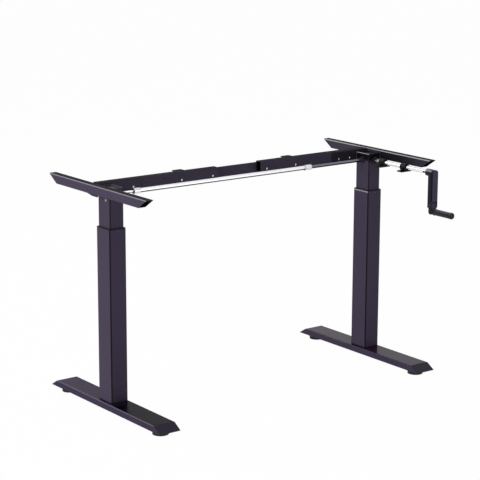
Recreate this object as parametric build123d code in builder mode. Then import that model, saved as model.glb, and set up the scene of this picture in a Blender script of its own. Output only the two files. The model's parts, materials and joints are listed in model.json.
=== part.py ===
from build123d import *
import os
from math import atan, cos, pi, radians, sin, sqrt, tan

# Hand-cranked frame of a height adjustable desk. Millimetres, +Z up.
# The origin is on the floor, midway between the columns. The crank faces -Y.

# Whole frame
column_spacing = 1143
table_height = 799
raising_travel = 330
lowering_travel = 90

# Feet: bevelled trays of folded sheet
foot_length = 689
foot_width = 84
foot_height = 22.5
foot_top = 40
foot_sheet = 2.5
foot_bend = 1
foot_end_run = 37
backing_thickness = 4
backing_length = 120
backing_side_gap = 6

# Screw-in glides under the feet
glide_from_end = 56.5
glide_radius = 28
glide_pad_height = 13
glide_edge = 2.5
glide_stud_radius = 4
glide_hex = 13
glide_hex_gap = 1.5
glide_nut_height = 16
glide_top_gap = 1

# Outer columns and the bushes in their tops
outer_width = 66
outer_depth = 83
outer_wall = 2
outer_radius = 5
outer_length = 610
bush_lip = 3
bush_depth = 40
bush_screw_drop = 9
bush_screw_radius = 2
bush_screw_head_radius = 3.6
bush_screw_head_height = 1.6

# Plate closing the column's lower end, and the bolts through the foot
base_plate = 6
base_bolt_pitch_wide = 36
base_bolt_pitch_long = 52
base_bolt_radius = 4
base_bolt_head_radius = 6.5
base_bolt_head_height = 8

# Inner columns and their sliding shoes
inner_width = 55
inner_depth = 73
inner_wall = 2
inner_radius = 4
rim_drop = 8
lowest_gap = 14
shoe_height = 30

# Lifting screws, plain where the thread is
screw_radius = 7
screw_journal_radius = 5
screw_end_chamfer = 2
nut_margin = 5
nut_body_height = 30
nut_flange_height = 6
nut_flange_radius = 17
nut_tube_radius = 15
nut_tube_wall = 2

# Bevel gears
gear_module = 1.25
gear_teeth = 24
pinion_teeth = 12
gear_face = 5.5
tooth_share = 0.36
tooth_flank = 20
addendum = 0.7 * gear_module
dedendum = 0.95 * gear_module
tooth_root_depth = 0.6
gear_rim = 3.5
gear_hub_radius = 10

# Gear cases in the column heads
axis_drop = 34.5
case_wall = 4
case_floor = 10
case_floor_drop = 22
cover_height = 19
cover_roof = 4
thrust_height = 9
thrust_radius = 12
case_screw_y = 26
case_screw_drop = 15
case_screw_radius = 2.5
case_screw_head_radius = 4.5
case_screw_head_height = 2.5

# Bosses where the shafts leave the column heads
journal_radius = 7
boss_radius = 10
boss_flange_radius = 13
boss_flange = 3
drive_boss_nose = 6
drive_boss_nose_radius = 9
crank_boss_nose = 12
crank_boss_nose_radius = 11
journal_beyond_boss = 1

# Side brackets under the table top
bracket_front_reach = 304
bracket_rear_reach = 300
bracket_end_run = 49
bracket_height = 32
bracket_width = 30
bracket_sheet = 2.5
bracket_bend = 1
bracket_outer_hole_y = 520
bracket_inner_hole_y = 240
bracket_hole_radius = 3.5
bracket_access_radius = 7
bracket_bolt_radius = 3
bracket_bolt_head_radius = 5.5
bracket_bolt_head_height = 3.5
bracket_bolt_front_y = -20
bracket_bolt_middle_y = 20
bracket_bolt_rear_y = 85
bracket_opening_margin = 20
bracket_opening_lip = 3

# Plates that carry the brackets on the column heads
head_plate = 3
head_plate_top_drop = 2
head_plate_cover = 1
head_plate_rear = 103
head_tab_drop = 48
head_tab_slope = 6

# Angle arms welded behind the column heads
arm_sheet = 3
arm_reach = 145.5
arm_top_drop = 2
arm_bolt_near = 61
arm_bolt_far = 114

# Rear beam: two box rails bolted to a slotted centre rail
beam_depth = 30
beam_height = 39
beam_wall = 2
beam_corner = 1
beam_end_gap = 3
beam_opening = 190
centre_rail_overlap = 185
centre_rail_height = 36
centre_rail_depth = 20
centre_rail_sheet = 2.5
beam_bolt_drop = 27.5
beam_bolt_near = 25.5
beam_bolt_far = 159
beam_bolt_radius = 3
beam_bolt_head_radius = 4.5
beam_bolt_head_height = 3.5
beam_nut_hex = 10
beam_nut_height = 5
beam_slot_length = 30
beam_hole_radius = 3.3
lug_from_end = 147
lug_width = 40
lug_depth = 22
lug_sheet = 2.5
lug_corner = 6
lug_hole_radius = 3

# Drive shaft between the two gear cases
stub_radius = 4
stub_into_collar = 16
stub_reach = 90
left_collar_length = 27
left_collar_wall = 2.75
right_collar_length = 31.5
right_collar_wall = 2.25
collar_edge = 1
tube_wall = 0.8
tube_into_collar = 10
hex_size = 11.5
hex_end_size = 9
hex_reach = 278
hex_into_tube = 60
hex_socket_depth = 16
collar_screw_radius = 2.5
collar_screw_from_end = 5

# Crank
crank_rod_radius = 7
crank_rod_gap = 0.5
crank_shaft_radius = 5
crank_shaft_length = 30
crank_radius = 140
crank_hub_reach = 325
crank_hub_radius = 13
crank_hub_length = 19.5
crank_arm_width = 30
crank_arm_depth = 22
crank_arm_top = 12
crank_arm_round = 11
crank_arm_edge = 2.5
crank_arm_end = 126
rod_into_arm = 12
snap_pin_reach = 313
snap_pin_radius = 3.5
snap_pin_proud = 2

# Folding grip
fold_drop = 115.5
elbow_width = 22
elbow_radius = 10.5
elbow_edge = 2
fork_gap = 0.4
fold_pin_radius = 3
grip_collar_radius = 12.5
grip_collar_length = 4
grip_pin_radius = 4
grip_pin_in_elbow = 16
grip_radius = 11.5
grip_length = 89
grip_knob_radius = 12
grip_knob_length = 13
grip_knob_edge = 3
grip_neck = 2
grip_end_wall = 5
grip_end_gap = 0.5

# Loose hangers on the crank rod, which screw to the table top
hanger_front_reach = 201
hanger_rear_reach = 84
hanger_bore_length = 24
hanger_ring_radius = 13
hanger_web = 10
hanger_web_width = 30
hanger_flange_width = 50
hanger_flange_depth = 28
hanger_flange = 4
hanger_flange_drop = 16
hanger_corner = 4
hanger_hole_spacing = 40
hanger_hole_radius = 2.5

# Clearances
run_gap = 0.06
slide_gap = 0.3
fit_gap = 0.1
bolt_gap = 0.2

# Places that follow from the sizes above
left = -column_spacing / 2
right = column_spacing / 2
foot_bottom = foot_top - foot_height
foot_inside = foot_top - foot_sheet
foot_edge_radius = foot_sheet + foot_bend
glide_y = foot_length / 2 - glide_from_end
glide_nut_bottom = foot_inside - glide_nut_height

outer_inside_width = outer_width - 2 * outer_wall
outer_inside_depth = outer_depth - 2 * outer_wall
outer_inside_radius = outer_radius - outer_wall
outer_top = foot_top + outer_length
bush_top = outer_top + bush_lip
bush_screw_z = bush_top - bush_screw_drop
base_plate_top = foot_top + base_plate

inner_top = table_height - rim_drop
inner_bottom = base_plate_top + lowest_gap + lowering_travel
inner_inside_width = inner_width - 2 * inner_wall
inner_inside_depth = inner_depth - 2 * inner_wall
inner_inside_radius = inner_radius - inner_wall

axis_z = table_height - axis_drop
case_floor_top = axis_z - case_floor_drop
case_bottom = case_floor_top - case_floor
thrust_bottom = case_bottom - thrust_height
screw_shoulder = thrust_bottom - slide_gap
screw_bottom = inner_bottom
nut_bottom = screw_bottom + raising_travel + nut_margin
nut_tube_top = nut_bottom + nut_body_height
nut_tube_inside = nut_tube_radius - nut_tube_wall

gear_angle = atan(gear_teeth / pinion_teeth)
pinion_angle = atan(pinion_teeth / gear_teeth)
gear_pitch_radius = gear_module * gear_teeth / 2
pinion_pitch_radius = gear_module * pinion_teeth / 2
cone_distance = sqrt(gear_pitch_radius**2 + pinion_pitch_radius**2)
small_end = 1 - gear_face / cone_distance

drive_boss_end = inner_width / 2 + boss_flange + drive_boss_nose
crank_boss_end = inner_depth / 2 + boss_flange + crank_boss_nose
drive_journal_end = drive_boss_end + journal_beyond_boss
crank_journal_end = crank_boss_end + journal_beyond_boss

bracket_bottom = table_height - bracket_height
bracket_inner_x = column_spacing / 2 + inner_width / 2 + head_plate
bracket_outer_x = bracket_inner_x + bracket_width
bracket_middle_x = (bracket_inner_x + bracket_outer_x) / 2
bracket_middle_y = (bracket_rear_reach - bracket_front_reach) / 2
bracket_opening_length = bracket_bolt_rear_y - bracket_bolt_front_y + 2 * bracket_opening_margin
bracket_opening_y = (bracket_bolt_rear_y + bracket_bolt_front_y) / 2
bracket_bolt_ys = (bracket_bolt_front_y, bracket_bolt_middle_y, bracket_bolt_rear_y)
head_plate_x = column_spacing / 2 + inner_width / 2
head_plate_top = table_height - head_plate_top_drop
head_plate_bottom = bracket_bottom + head_plate_cover
bracket_bolt_z = (head_plate_top + head_plate_bottom) / 2
head_tab_bottom = table_height - head_tab_drop

arm_front = inner_depth / 2
beam_front = arm_front + arm_sheet
beam_rear = beam_front + beam_depth
beam_bottom = table_height - beam_height
arm_bottom = beam_bottom - arm_sheet
beam_inner_x = beam_opening / 2
beam_bolt_z = table_height - beam_bolt_drop
arm_bolt_xs = (column_spacing / 2 - arm_bolt_near, column_spacing / 2 - arm_bolt_far)
rail_bolt_xs = (beam_inner_x + beam_bolt_near, beam_inner_x + beam_bolt_far)
centre_rail_bottom = beam_bolt_z - centre_rail_height / 2
centre_rail_half = beam_inner_x + centre_rail_overlap
lug_x = beam_inner_x + lug_from_end

hex_corner_radius = hex_size / sqrt(3)
tube_inside = hex_corner_radius + slide_gap
tube_radius = tube_inside + tube_wall
left_collar_radius = tube_radius + left_collar_wall
right_collar_radius = tube_radius + right_collar_wall
left_collar_start = left + stub_reach
left_collar_end = left_collar_start + left_collar_length
right_collar_end = right - hex_reach
right_collar_start = right_collar_end - right_collar_length
tube_start = left_collar_end - tube_into_collar
tube_end = right_collar_start + tube_into_collar

rod_start = crank_journal_end + crank_rod_gap
arm_back = crank_hub_reach + crank_hub_length
arm_face = arm_back + crank_arm_depth
arm_middle = (arm_back + arm_face) / 2
rod_end = arm_back + rod_into_arm
fold_z = axis_z - fold_drop
grip_z = axis_z - crank_radius
elbow_face = arm_middle + elbow_radius
grip_start = elbow_face + grip_collar_length + slide_gap
grip_end = grip_start + grip_length
grip_pin_start = elbow_face - grip_pin_in_elbow
grip_pin_end = grip_end - grip_end_wall
sides = (("left", left, -1), ("right", right, 1))


# Lowest X of a piece that runs from near to far, measured outwards from the middle of the frame
def start_x(side, near, far):
    return near if side > 0 else -far


# Label a finished piece and write it
def write(piece, label):
    piece.part.label = label
    export_step(piece.part, f"parts/{label}.step")


# Left and right copies of a piece as one group
def both(first, second):
    with BuildPart() as group:
        add(first.part)
        add(second.part)
    return group


# Bevelled tray, open below
def foot(x):
    with BuildPart() as tray:
        with BuildSketch(Plane.YZ.offset(x - foot_width / 2)):
            with BuildLine():
                Polyline(
                    (-foot_length / 2, foot_bottom),
                    (foot_length / 2, foot_bottom),
                    (foot_length / 2 - foot_end_run, foot_top),
                    (-foot_length / 2 + foot_end_run, foot_top),
                    close=True,
                )
            make_face()
        extrude(amount=foot_width)
        fillet(tray.edges().group_by(Axis.Z)[-1], foot_edge_radius)
        offset(amount=-foot_sheet, openings=tray.faces().sort_by(Axis.Z)[0])
        with Locations((x, 0, foot_top)):
            with GridLocations(base_bolt_pitch_wide, base_bolt_pitch_long, 2, 2):
                Hole(base_bolt_radius + bolt_gap)
    return tray


# Stiffening plates under the tops of both feet
def backing_plates():
    with BuildPart() as plates:
        with BuildSketch(Plane.XY.offset(foot_inside)):
            with Locations((left, 0), (right, 0)):
                Rectangle(foot_width - 2 * foot_sheet - 2 * backing_side_gap, backing_length)
            with Locations((left, 0), (right, 0)):
                with GridLocations(base_bolt_pitch_wide, base_bolt_pitch_long, 2, 2):
                    Circle(base_bolt_radius + bolt_gap, mode=Mode.SUBTRACT)
        extrude(amount=-backing_thickness)
    return plates


# Bolts that come up through the feet into the base plates
def foot_bolts():
    head_top = foot_inside - backing_thickness
    with BuildPart() as bolts:
        with Locations((left, 0, head_top), (right, 0, head_top)):
            with GridLocations(base_bolt_pitch_wide, base_bolt_pitch_long, 2, 2):
                Cylinder(
                    base_bolt_head_radius,
                    base_bolt_head_height,
                    align=(Align.CENTER, Align.CENTER, Align.MAX),
                )
                Cylinder(
                    base_bolt_radius,
                    base_plate_top - head_top,
                    align=(Align.CENTER, Align.CENTER, Align.MIN),
                )
    return bolts


# Long nuts welded under the foot tops, which the glide studs screw into
def glide_nuts():
    with BuildPart() as nuts:
        with BuildSketch(Plane.XY.offset(glide_nut_bottom)):
            with GridLocations(column_spacing, 2 * glide_y, 2, 2):
                RegularPolygon(glide_hex / 2, 6, major_radius=False)
                Circle(glide_stud_radius + run_gap, mode=Mode.SUBTRACT)
        extrude(amount=glide_nut_height)
    return nuts


# Pad, hex and stud moulded together
def glide(x, y):
    hex_top = glide_nut_bottom - glide_hex_gap
    with BuildPart() as pad:
        with BuildSketch():
            with Locations((x, y)):
                Circle(glide_radius)
        extrude(amount=glide_pad_height)
        fillet(pad.edges().group_by(Axis.Z)[-1], glide_edge)
        with BuildSketch(Plane.XY.offset(glide_pad_height)):
            with Locations((x, y)):
                RegularPolygon(glide_hex / 2, 6, major_radius=False)
        extrude(amount=hex_top - glide_pad_height)
        with BuildSketch(Plane.XY.offset(hex_top)):
            with Locations((x, y)):
                Circle(glide_stud_radius)
        extrude(amount=foot_inside - glide_top_gap - hex_top)
    return pad


# Lower column tube, with a screw hole for the bush in each face
def outer_column(x):
    with BuildPart() as tube:
        with BuildSketch(Plane.XY.offset(foot_top)):
            with Locations((x, 0)):
                RectangleRounded(outer_width, outer_depth, outer_radius)
                RectangleRounded(
                    outer_inside_width, outer_inside_depth, outer_inside_radius, mode=Mode.SUBTRACT
                )
        extrude(amount=outer_length)
        with BuildSketch(Plane.YZ.offset(x)):
            with Locations((0, bush_screw_z)):
                Circle(bush_screw_radius + fit_gap)
        extrude(amount=outer_width, both=True, mode=Mode.SUBTRACT)
        with BuildSketch(Plane.XZ):
            with Locations((x, bush_screw_z)):
                Circle(bush_screw_radius + fit_gap)
        extrude(amount=outer_depth, both=True, mode=Mode.SUBTRACT)
    return tube


# Plastic sleeve in the outer column's top, with a lip over the rim
def column_bush(x):
    with BuildPart() as bush:
        with BuildSketch(Plane.XY.offset(outer_top)):
            with Locations((x, 0)):
                RectangleRounded(outer_inside_width, outer_inside_depth, outer_inside_radius)
        extrude(amount=-bush_depth)
        with BuildSketch(Plane.XY.offset(outer_top)):
            with Locations((x, 0)):
                RectangleRounded(outer_width, outer_depth, outer_radius)
        extrude(amount=bush_lip)
        with BuildSketch(Plane.XY.offset(bush_top)):
            with Locations((x, 0)):
                RectangleRounded(
                    inner_width + 2 * slide_gap,
                    inner_depth + 2 * slide_gap,
                    inner_radius + slide_gap,
                )
        extrude(amount=-bush_depth - bush_lip, mode=Mode.SUBTRACT)
        bush_wall = (outer_inside_width - inner_width) / 2 - slide_gap
        with BuildSketch(Plane.YZ.offset(x + outer_inside_width / 2 - bush_wall)):
            with Locations((0, bush_screw_z)):
                Circle(bush_screw_radius + fit_gap)
        extrude(amount=bush_wall, mode=Mode.SUBTRACT)
        with BuildSketch(Plane.YZ.offset(x - outer_inside_width / 2)):
            with Locations((0, bush_screw_z)):
                Circle(bush_screw_radius + fit_gap)
        extrude(amount=bush_wall, mode=Mode.SUBTRACT)
        with BuildSketch(Plane.XZ):
            with Locations((x, bush_screw_z)):
                Circle(bush_screw_radius + fit_gap)
        extrude(amount=outer_depth, both=True, mode=Mode.SUBTRACT)
    return bush


# One domed screw in each face of both outer columns
def column_bush_screws():
    halves = (outer_width / 2, outer_depth / 2)
    shanks = ((outer_width - inner_width) / 2 - slide_gap, (outer_depth - inner_depth) / 2 - slide_gap)
    with BuildPart() as screws:
        for x in (left, right):
            for turn in range(4):
                half = halves[turn % 2]
                shank = shanks[turn % 2]
                facing = (cos(turn * pi / 2), sin(turn * pi / 2), 0)
                out = Plane((x, 0, bush_screw_z), x_dir=(0, 0, 1), z_dir=facing)
                with BuildSketch(out.offset(half - shank)):
                    Circle(bush_screw_radius)
                extrude(amount=shank)
                with BuildSketch(out.offset(half)):
                    Circle(bush_screw_head_radius)
                extrude(amount=bush_screw_head_height)
    return screws


# Plates inside the lower ends of the outer columns
def base_plates():
    with BuildPart() as plates:
        with BuildSketch(Plane.XY.offset(foot_top)):
            with Locations((left, 0), (right, 0)):
                RectangleRounded(outer_inside_width, outer_inside_depth, outer_inside_radius)
            with Locations((left, 0), (right, 0)):
                with GridLocations(base_bolt_pitch_wide, base_bolt_pitch_long, 2, 2):
                    Circle(base_bolt_radius + fit_gap, mode=Mode.SUBTRACT)
        extrude(amount=base_plate)
    return plates


# Tube standing on the base plate, which carries the lead nut
def nut_tube(x):
    with BuildPart() as tube:
        with BuildSketch(Plane.XY.offset(base_plate_top)):
            with Locations((x, 0)):
                Circle(nut_tube_radius)
                Circle(nut_tube_inside, mode=Mode.SUBTRACT)
        extrude(amount=nut_tube_top - base_plate_top)
    return tube


# Flanged nut on the tube's top
def lead_nut(x):
    with BuildPart() as nut:
        with BuildSketch(Plane.XY.offset(nut_bottom)):
            with Locations((x, 0)):
                Circle(nut_tube_inside - fit_gap)
        extrude(amount=nut_body_height)
        with BuildSketch(Plane.XY.offset(nut_tube_top)):
            with Locations((x, 0)):
                Circle(nut_flange_radius)
        extrude(amount=nut_flange_height)
        with Locations((x, 0, nut_tube_top + nut_flange_height)):
            Hole(screw_radius + run_gap)
    return nut


# Upper column tube, with openings for the drive shaft, the crank shaft and the case screws
def inner_column(x, side):
    with BuildPart() as tube:
        with BuildSketch(Plane.XY.offset(inner_bottom)):
            with Locations((x, 0)):
                RectangleRounded(inner_width, inner_depth, inner_radius)
                RectangleRounded(
                    inner_inside_width, inner_inside_depth, inner_inside_radius, mode=Mode.SUBTRACT
                )
        extrude(amount=inner_top - inner_bottom)
        with BuildSketch(Plane.YZ.offset(x)):
            with Locations((0, axis_z)):
                Circle(boss_radius + fit_gap)
        extrude(amount=-side * inner_width, mode=Mode.SUBTRACT)
        with BuildSketch(Plane.YZ.offset(x)):
            with Locations((0, axis_z - case_screw_drop)):
                with GridLocations(case_screw_y, 0, 2, 1):
                    Circle(case_screw_radius)
        extrude(amount=side * inner_width, mode=Mode.SUBTRACT)
        if side > 0:
            with BuildSketch(Plane.XZ):
                with Locations((x, axis_z)):
                    Circle(boss_radius + fit_gap)
            extrude(amount=inner_depth, mode=Mode.SUBTRACT)
    return tube


# Plastic ring round the inner column's lower end, sliding in the outer column
def slide_shoe(x):
    with BuildPart() as shoe:
        with BuildSketch(Plane.XY.offset(inner_bottom)):
            with Locations((x, 0)):
                RectangleRounded(
                    outer_inside_width - 2 * slide_gap,
                    outer_inside_depth - 2 * slide_gap,
                    outer_inside_radius,
                )
                RectangleRounded(inner_width, inner_depth, inner_radius, mode=Mode.SUBTRACT)
        extrude(amount=shoe_height)
    return shoe


# Lower half of a gear case, split at the height of the shafts
def gear_case(x, side):
    with BuildPart() as case:
        with BuildSketch(Plane.XY.offset(case_bottom)):
            with Locations((x, 0)):
                RectangleRounded(inner_inside_width, inner_inside_depth, inner_inside_radius)
        extrude(amount=axis_z - case_bottom)
        with BuildSketch(Plane.XY.offset(case_floor_top)):
            with Locations((x, 0)):
                Rectangle(inner_inside_width - 2 * case_wall, inner_inside_depth - 2 * case_wall)
        extrude(amount=axis_z - case_floor_top, mode=Mode.SUBTRACT)
        with Locations((x, 0, case_floor_top)):
            Hole(screw_journal_radius + run_gap)
        with BuildSketch(Plane.YZ.offset(x)):
            with Locations((0, axis_z)):
                Circle(journal_radius + run_gap)
        extrude(amount=-side * inner_width, mode=Mode.SUBTRACT)
        with BuildSketch(Plane.YZ.offset(x + side * (inner_inside_width / 2 - case_wall))):
            with Locations((0, axis_z - case_screw_drop)):
                with GridLocations(case_screw_y, 0, 2, 1):
                    Circle(case_screw_radius)
        extrude(amount=side * case_wall, mode=Mode.SUBTRACT)
        if side > 0:
            with BuildSketch(Plane.XZ):
                with Locations((x, axis_z)):
                    Circle(journal_radius + run_gap)
            extrude(amount=inner_depth, mode=Mode.SUBTRACT)
    return case


# Upper half of a gear case
def gear_cover(x, side):
    with BuildPart() as cover:
        with BuildSketch(Plane.XY.offset(axis_z)):
            with Locations((x, 0)):
                RectangleRounded(inner_inside_width, inner_inside_depth, inner_inside_radius)
        extrude(amount=cover_height)
        with BuildSketch(Plane.XY.offset(axis_z)):
            with Locations((x, 0)):
                Rectangle(inner_inside_width - 2 * case_wall, inner_inside_depth - 2 * case_wall)
        extrude(amount=cover_height - cover_roof, mode=Mode.SUBTRACT)
        with BuildSketch(Plane.YZ.offset(x)):
            with Locations((0, axis_z)):
                Circle(journal_radius + run_gap)
        extrude(amount=-side * inner_width, mode=Mode.SUBTRACT)
        if side > 0:
            with BuildSketch(Plane.XZ):
                with Locations((x, axis_z)):
                    Circle(journal_radius + run_gap)
            extrude(amount=inner_depth, mode=Mode.SUBTRACT)
    return cover


# Screws through the column wall into the gear case
def case_screws():
    shank = inner_wall + case_wall
    with BuildPart() as screws:
        for name, x, side in sides:
            face = Plane.YZ.offset(x + side * inner_width / 2)
            with BuildSketch(face):
                with Locations((0, axis_z - case_screw_drop)):
                    with GridLocations(case_screw_y, 0, 2, 1):
                        Circle(case_screw_radius)
            extrude(amount=-side * shank)
            with BuildSketch(face):
                with Locations((0, axis_z - case_screw_drop)):
                    with GridLocations(case_screw_y, 0, 2, 1):
                        Circle(case_screw_head_radius)
            extrude(amount=side * case_screw_head_height)
    return screws


# Ball thrust bearings, as closed rings, between the screws' shoulders and the cases
def thrust_bearings():
    with BuildPart() as rings:
        with BuildSketch(Plane.XY.offset(thrust_bottom)):
            with Locations((left, 0), (right, 0)):
                Circle(thrust_radius)
                Circle(screw_journal_radius + run_gap, mode=Mode.SUBTRACT)
        extrude(amount=thrust_height)
    return rings


# Flanged bush on the face of a column head, along out
def shaft_boss(out, half, nose, nose_radius):
    with BuildPart() as boss:
        with BuildSketch(out.offset(half - inner_wall)):
            Circle(boss_radius)
        extrude(amount=inner_wall)
        with BuildSketch(out.offset(half)):
            Circle(boss_flange_radius)
        extrude(amount=boss_flange)
        with BuildSketch(out.offset(half + boss_flange)):
            Circle(nose_radius)
        extrude(amount=nose)
        with BuildSketch(out.offset(half - inner_wall)):
            Circle(journal_radius + run_gap)
        extrude(amount=inner_wall + boss_flange + nose, mode=Mode.SUBTRACT)
    return boss


# One tooth of a bevel gear, its faces meeting at the cone's tip, which is at the origin
def bevel_tooth(pitch_radius, cone_angle):
    half_width = tooth_share * pi * gear_module / 2
    foot_depth = dedendum + tooth_root_depth
    tip_half = half_width - addendum * tan(radians(tooth_flank))
    root_half = half_width + foot_depth * tan(radians(tooth_flank))
    along = Vector(sin(cone_angle), 0, -cos(cone_angle))
    with BuildPart() as tooth:
        for share in (small_end, 1):
            end = Plane(along * (cone_distance * share), x_dir=(0, 1, 0), z_dir=along)
            with BuildSketch(end):
                with BuildLine():
                    Polyline(
                        (-root_half * share, -foot_depth * share),
                        (root_half * share, -foot_depth * share),
                        (tip_half * share, addendum * share),
                        (-tip_half * share, addendum * share),
                        close=True,
                    )
                make_face()
        loft()
    return tooth.part


# Toothed cone with its tip at the origin and its axis on Z, teeth upwards
def bevel_blank(pitch_radius, cone_angle, teeth, hub_radius, hub_bottom):
    root_radius = pitch_radius - dedendum * cos(cone_angle)
    root_z = -pitch_radius / tan(cone_angle) - dedendum * sin(cone_angle)
    rim_z = root_z - gear_rim if hub_radius < root_radius else root_z
    tooth = bevel_tooth(pitch_radius, cone_angle)
    with BuildPart() as blank:
        with BuildSketch(Plane.XZ):
            with BuildLine():
                Polyline(
                    (0, root_z * small_end),
                    (root_radius * small_end, root_z * small_end),
                    (root_radius, root_z),
                    (root_radius, rim_z - fit_gap),
                    (hub_radius, rim_z - fit_gap),
                    (hub_radius, -hub_bottom),
                    (0, -hub_bottom),
                    close=True,
                )
            make_face()
        revolve(axis=Axis.Z)
        with PolarLocations(0, teeth):
            add(tooth)
    return blank.part


# Large bevel gear on a screw's journal
def screw_gear(x, blank):
    with BuildPart() as gear:
        with Locations((x, 0, axis_z)):
            add(blank)
        with Locations((x, 0, axis_z)):
            Hole(screw_journal_radius)
    return gear


# Lifting screw hanging from its gear case
def lead_screw(x):
    journal_top = axis_z - gear_pitch_radius / tan(gear_angle) * small_end - dedendum
    with BuildPart() as screw:
        with BuildSketch(Plane.XY.offset(screw_bottom)):
            with Locations((x, 0)):
                Circle(screw_radius)
        extrude(amount=screw_shoulder - screw_bottom)
        chamfer(screw.edges().group_by(Axis.Z)[0], screw_end_chamfer)
        with BuildSketch(Plane.XY.offset(screw_shoulder)):
            with Locations((x, 0)):
                Circle(screw_journal_radius)
        extrude(amount=journal_top - screw_shoulder)
    return screw


# Pinion of the left case, with the stub that carries the collar
def left_drive_pinion(blank, place):
    with BuildPart() as pinion:
        with Locations(place):
            add(blank)
        with BuildSketch(Plane.YZ.offset(left + drive_journal_end)):
            with Locations((0, axis_z)):
                Circle(stub_radius)
        extrude(amount=left_collar_start + stub_into_collar - left - drive_journal_end)
    return pinion


# Pinion of the right case, with a socket for the hexagon rod
def right_drive_pinion(blank, place):
    with BuildPart() as pinion:
        with Locations(place):
            add(blank)
        with BuildSketch(Plane.YZ.offset(right - drive_journal_end)):
            with Locations((0, axis_z)):
                RegularPolygon(hex_end_size / 2 + fit_gap, 6, major_radius=False)
        extrude(amount=hex_socket_depth, mode=Mode.SUBTRACT)
    return pinion


# Collar clamping the stub to the drive tube
def left_drive_collar():
    with BuildPart() as collar:
        with BuildSketch(Plane.YZ.offset(left_collar_start)):
            with Locations((0, axis_z)):
                Circle(left_collar_radius)
        extrude(amount=left_collar_length)
        chamfer(collar.edges(), collar_edge)
        with BuildSketch(Plane.YZ.offset(left_collar_start)):
            with Locations((0, axis_z)):
                Circle(stub_radius + fit_gap)
        extrude(amount=left_collar_length, mode=Mode.SUBTRACT)
        with BuildSketch(Plane.YZ.offset(left_collar_end)):
            with Locations((0, axis_z)):
                Circle(tube_radius + fit_gap)
        extrude(amount=-tube_into_collar, mode=Mode.SUBTRACT)
        with Locations((left_collar_start + collar_screw_from_end, 0, axis_z + left_collar_radius)):
            Hole(collar_screw_radius, depth=left_collar_radius)
        with Locations((left_collar_end - collar_screw_from_end, 0, axis_z + left_collar_radius)):
            Hole(collar_screw_radius, depth=left_collar_radius - tube_radius)
    return collar


# Collar clamping the hexagon rod in the drive tube
def right_drive_collar():
    with BuildPart() as collar:
        with BuildSketch(Plane.YZ.offset(right_collar_start)):
            with Locations((0, axis_z)):
                Circle(right_collar_radius)
        extrude(amount=right_collar_length)
        chamfer(collar.edges(), collar_edge)
        with BuildSketch(Plane.YZ.offset(right_collar_start)):
            with Locations((0, axis_z)):
                Circle(hex_corner_radius + fit_gap)
        extrude(amount=right_collar_length, mode=Mode.SUBTRACT)
        with BuildSketch(Plane.YZ.offset(right_collar_start)):
            with Locations((0, axis_z)):
                Circle(tube_radius + fit_gap)
        extrude(amount=tube_into_collar, mode=Mode.SUBTRACT)
        with Locations((right_collar_start + collar_screw_from_end, 0, axis_z + right_collar_radius)):
            Hole(collar_screw_radius, depth=right_collar_radius - tube_radius)
        with Locations((right_collar_end - collar_screw_from_end, 0, axis_z + right_collar_radius)):
            Hole(collar_screw_radius, depth=right_collar_radius)
    return collar


# Grub screws in the collars, down on the stub, the tube and the hexagon rod
def collar_screws():
    seats = (
        (left_collar_start + collar_screw_from_end, left_collar_radius, stub_radius),
        (left_collar_end - collar_screw_from_end, left_collar_radius, tube_radius + fit_gap),
        (right_collar_start + collar_screw_from_end, right_collar_radius, tube_radius + fit_gap),
        (right_collar_end - collar_screw_from_end, right_collar_radius, hex_corner_radius + fit_gap),
    )
    with BuildPart() as screws:
        for x, top, seat in seats:
            with BuildSketch(Plane.XY.offset(axis_z + seat)):
                with Locations((x, 0)):
                    Circle(collar_screw_radius)
            extrude(amount=top - seat)
    return screws


# Tube between the collars
def drive_tube():
    with BuildPart() as tube:
        with BuildSketch(Plane.YZ.offset(tube_start)):
            with Locations((0, axis_z)):
                Circle(tube_radius)
                Circle(tube_inside, mode=Mode.SUBTRACT)
        extrude(amount=tube_end - tube_start)
    return tube


# Rod from the drive tube to the right pinion, with a slimmer end in the pinion's socket
def hexagon_rod():
    start = right_collar_start - hex_into_tube
    shoulder = right - drive_journal_end
    with BuildPart() as rod:
        with BuildSketch(Plane.YZ.offset(start)):
            with Locations((0, axis_z)):
                RegularPolygon(hex_size / 2, 6, major_radius=False)
        extrude(amount=shoulder - start)
        with BuildSketch(Plane.YZ.offset(shoulder)):
            with Locations((0, axis_z)):
                RegularPolygon(hex_end_size / 2, 6, major_radius=False)
        extrude(amount=hex_socket_depth)
    return rod


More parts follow.
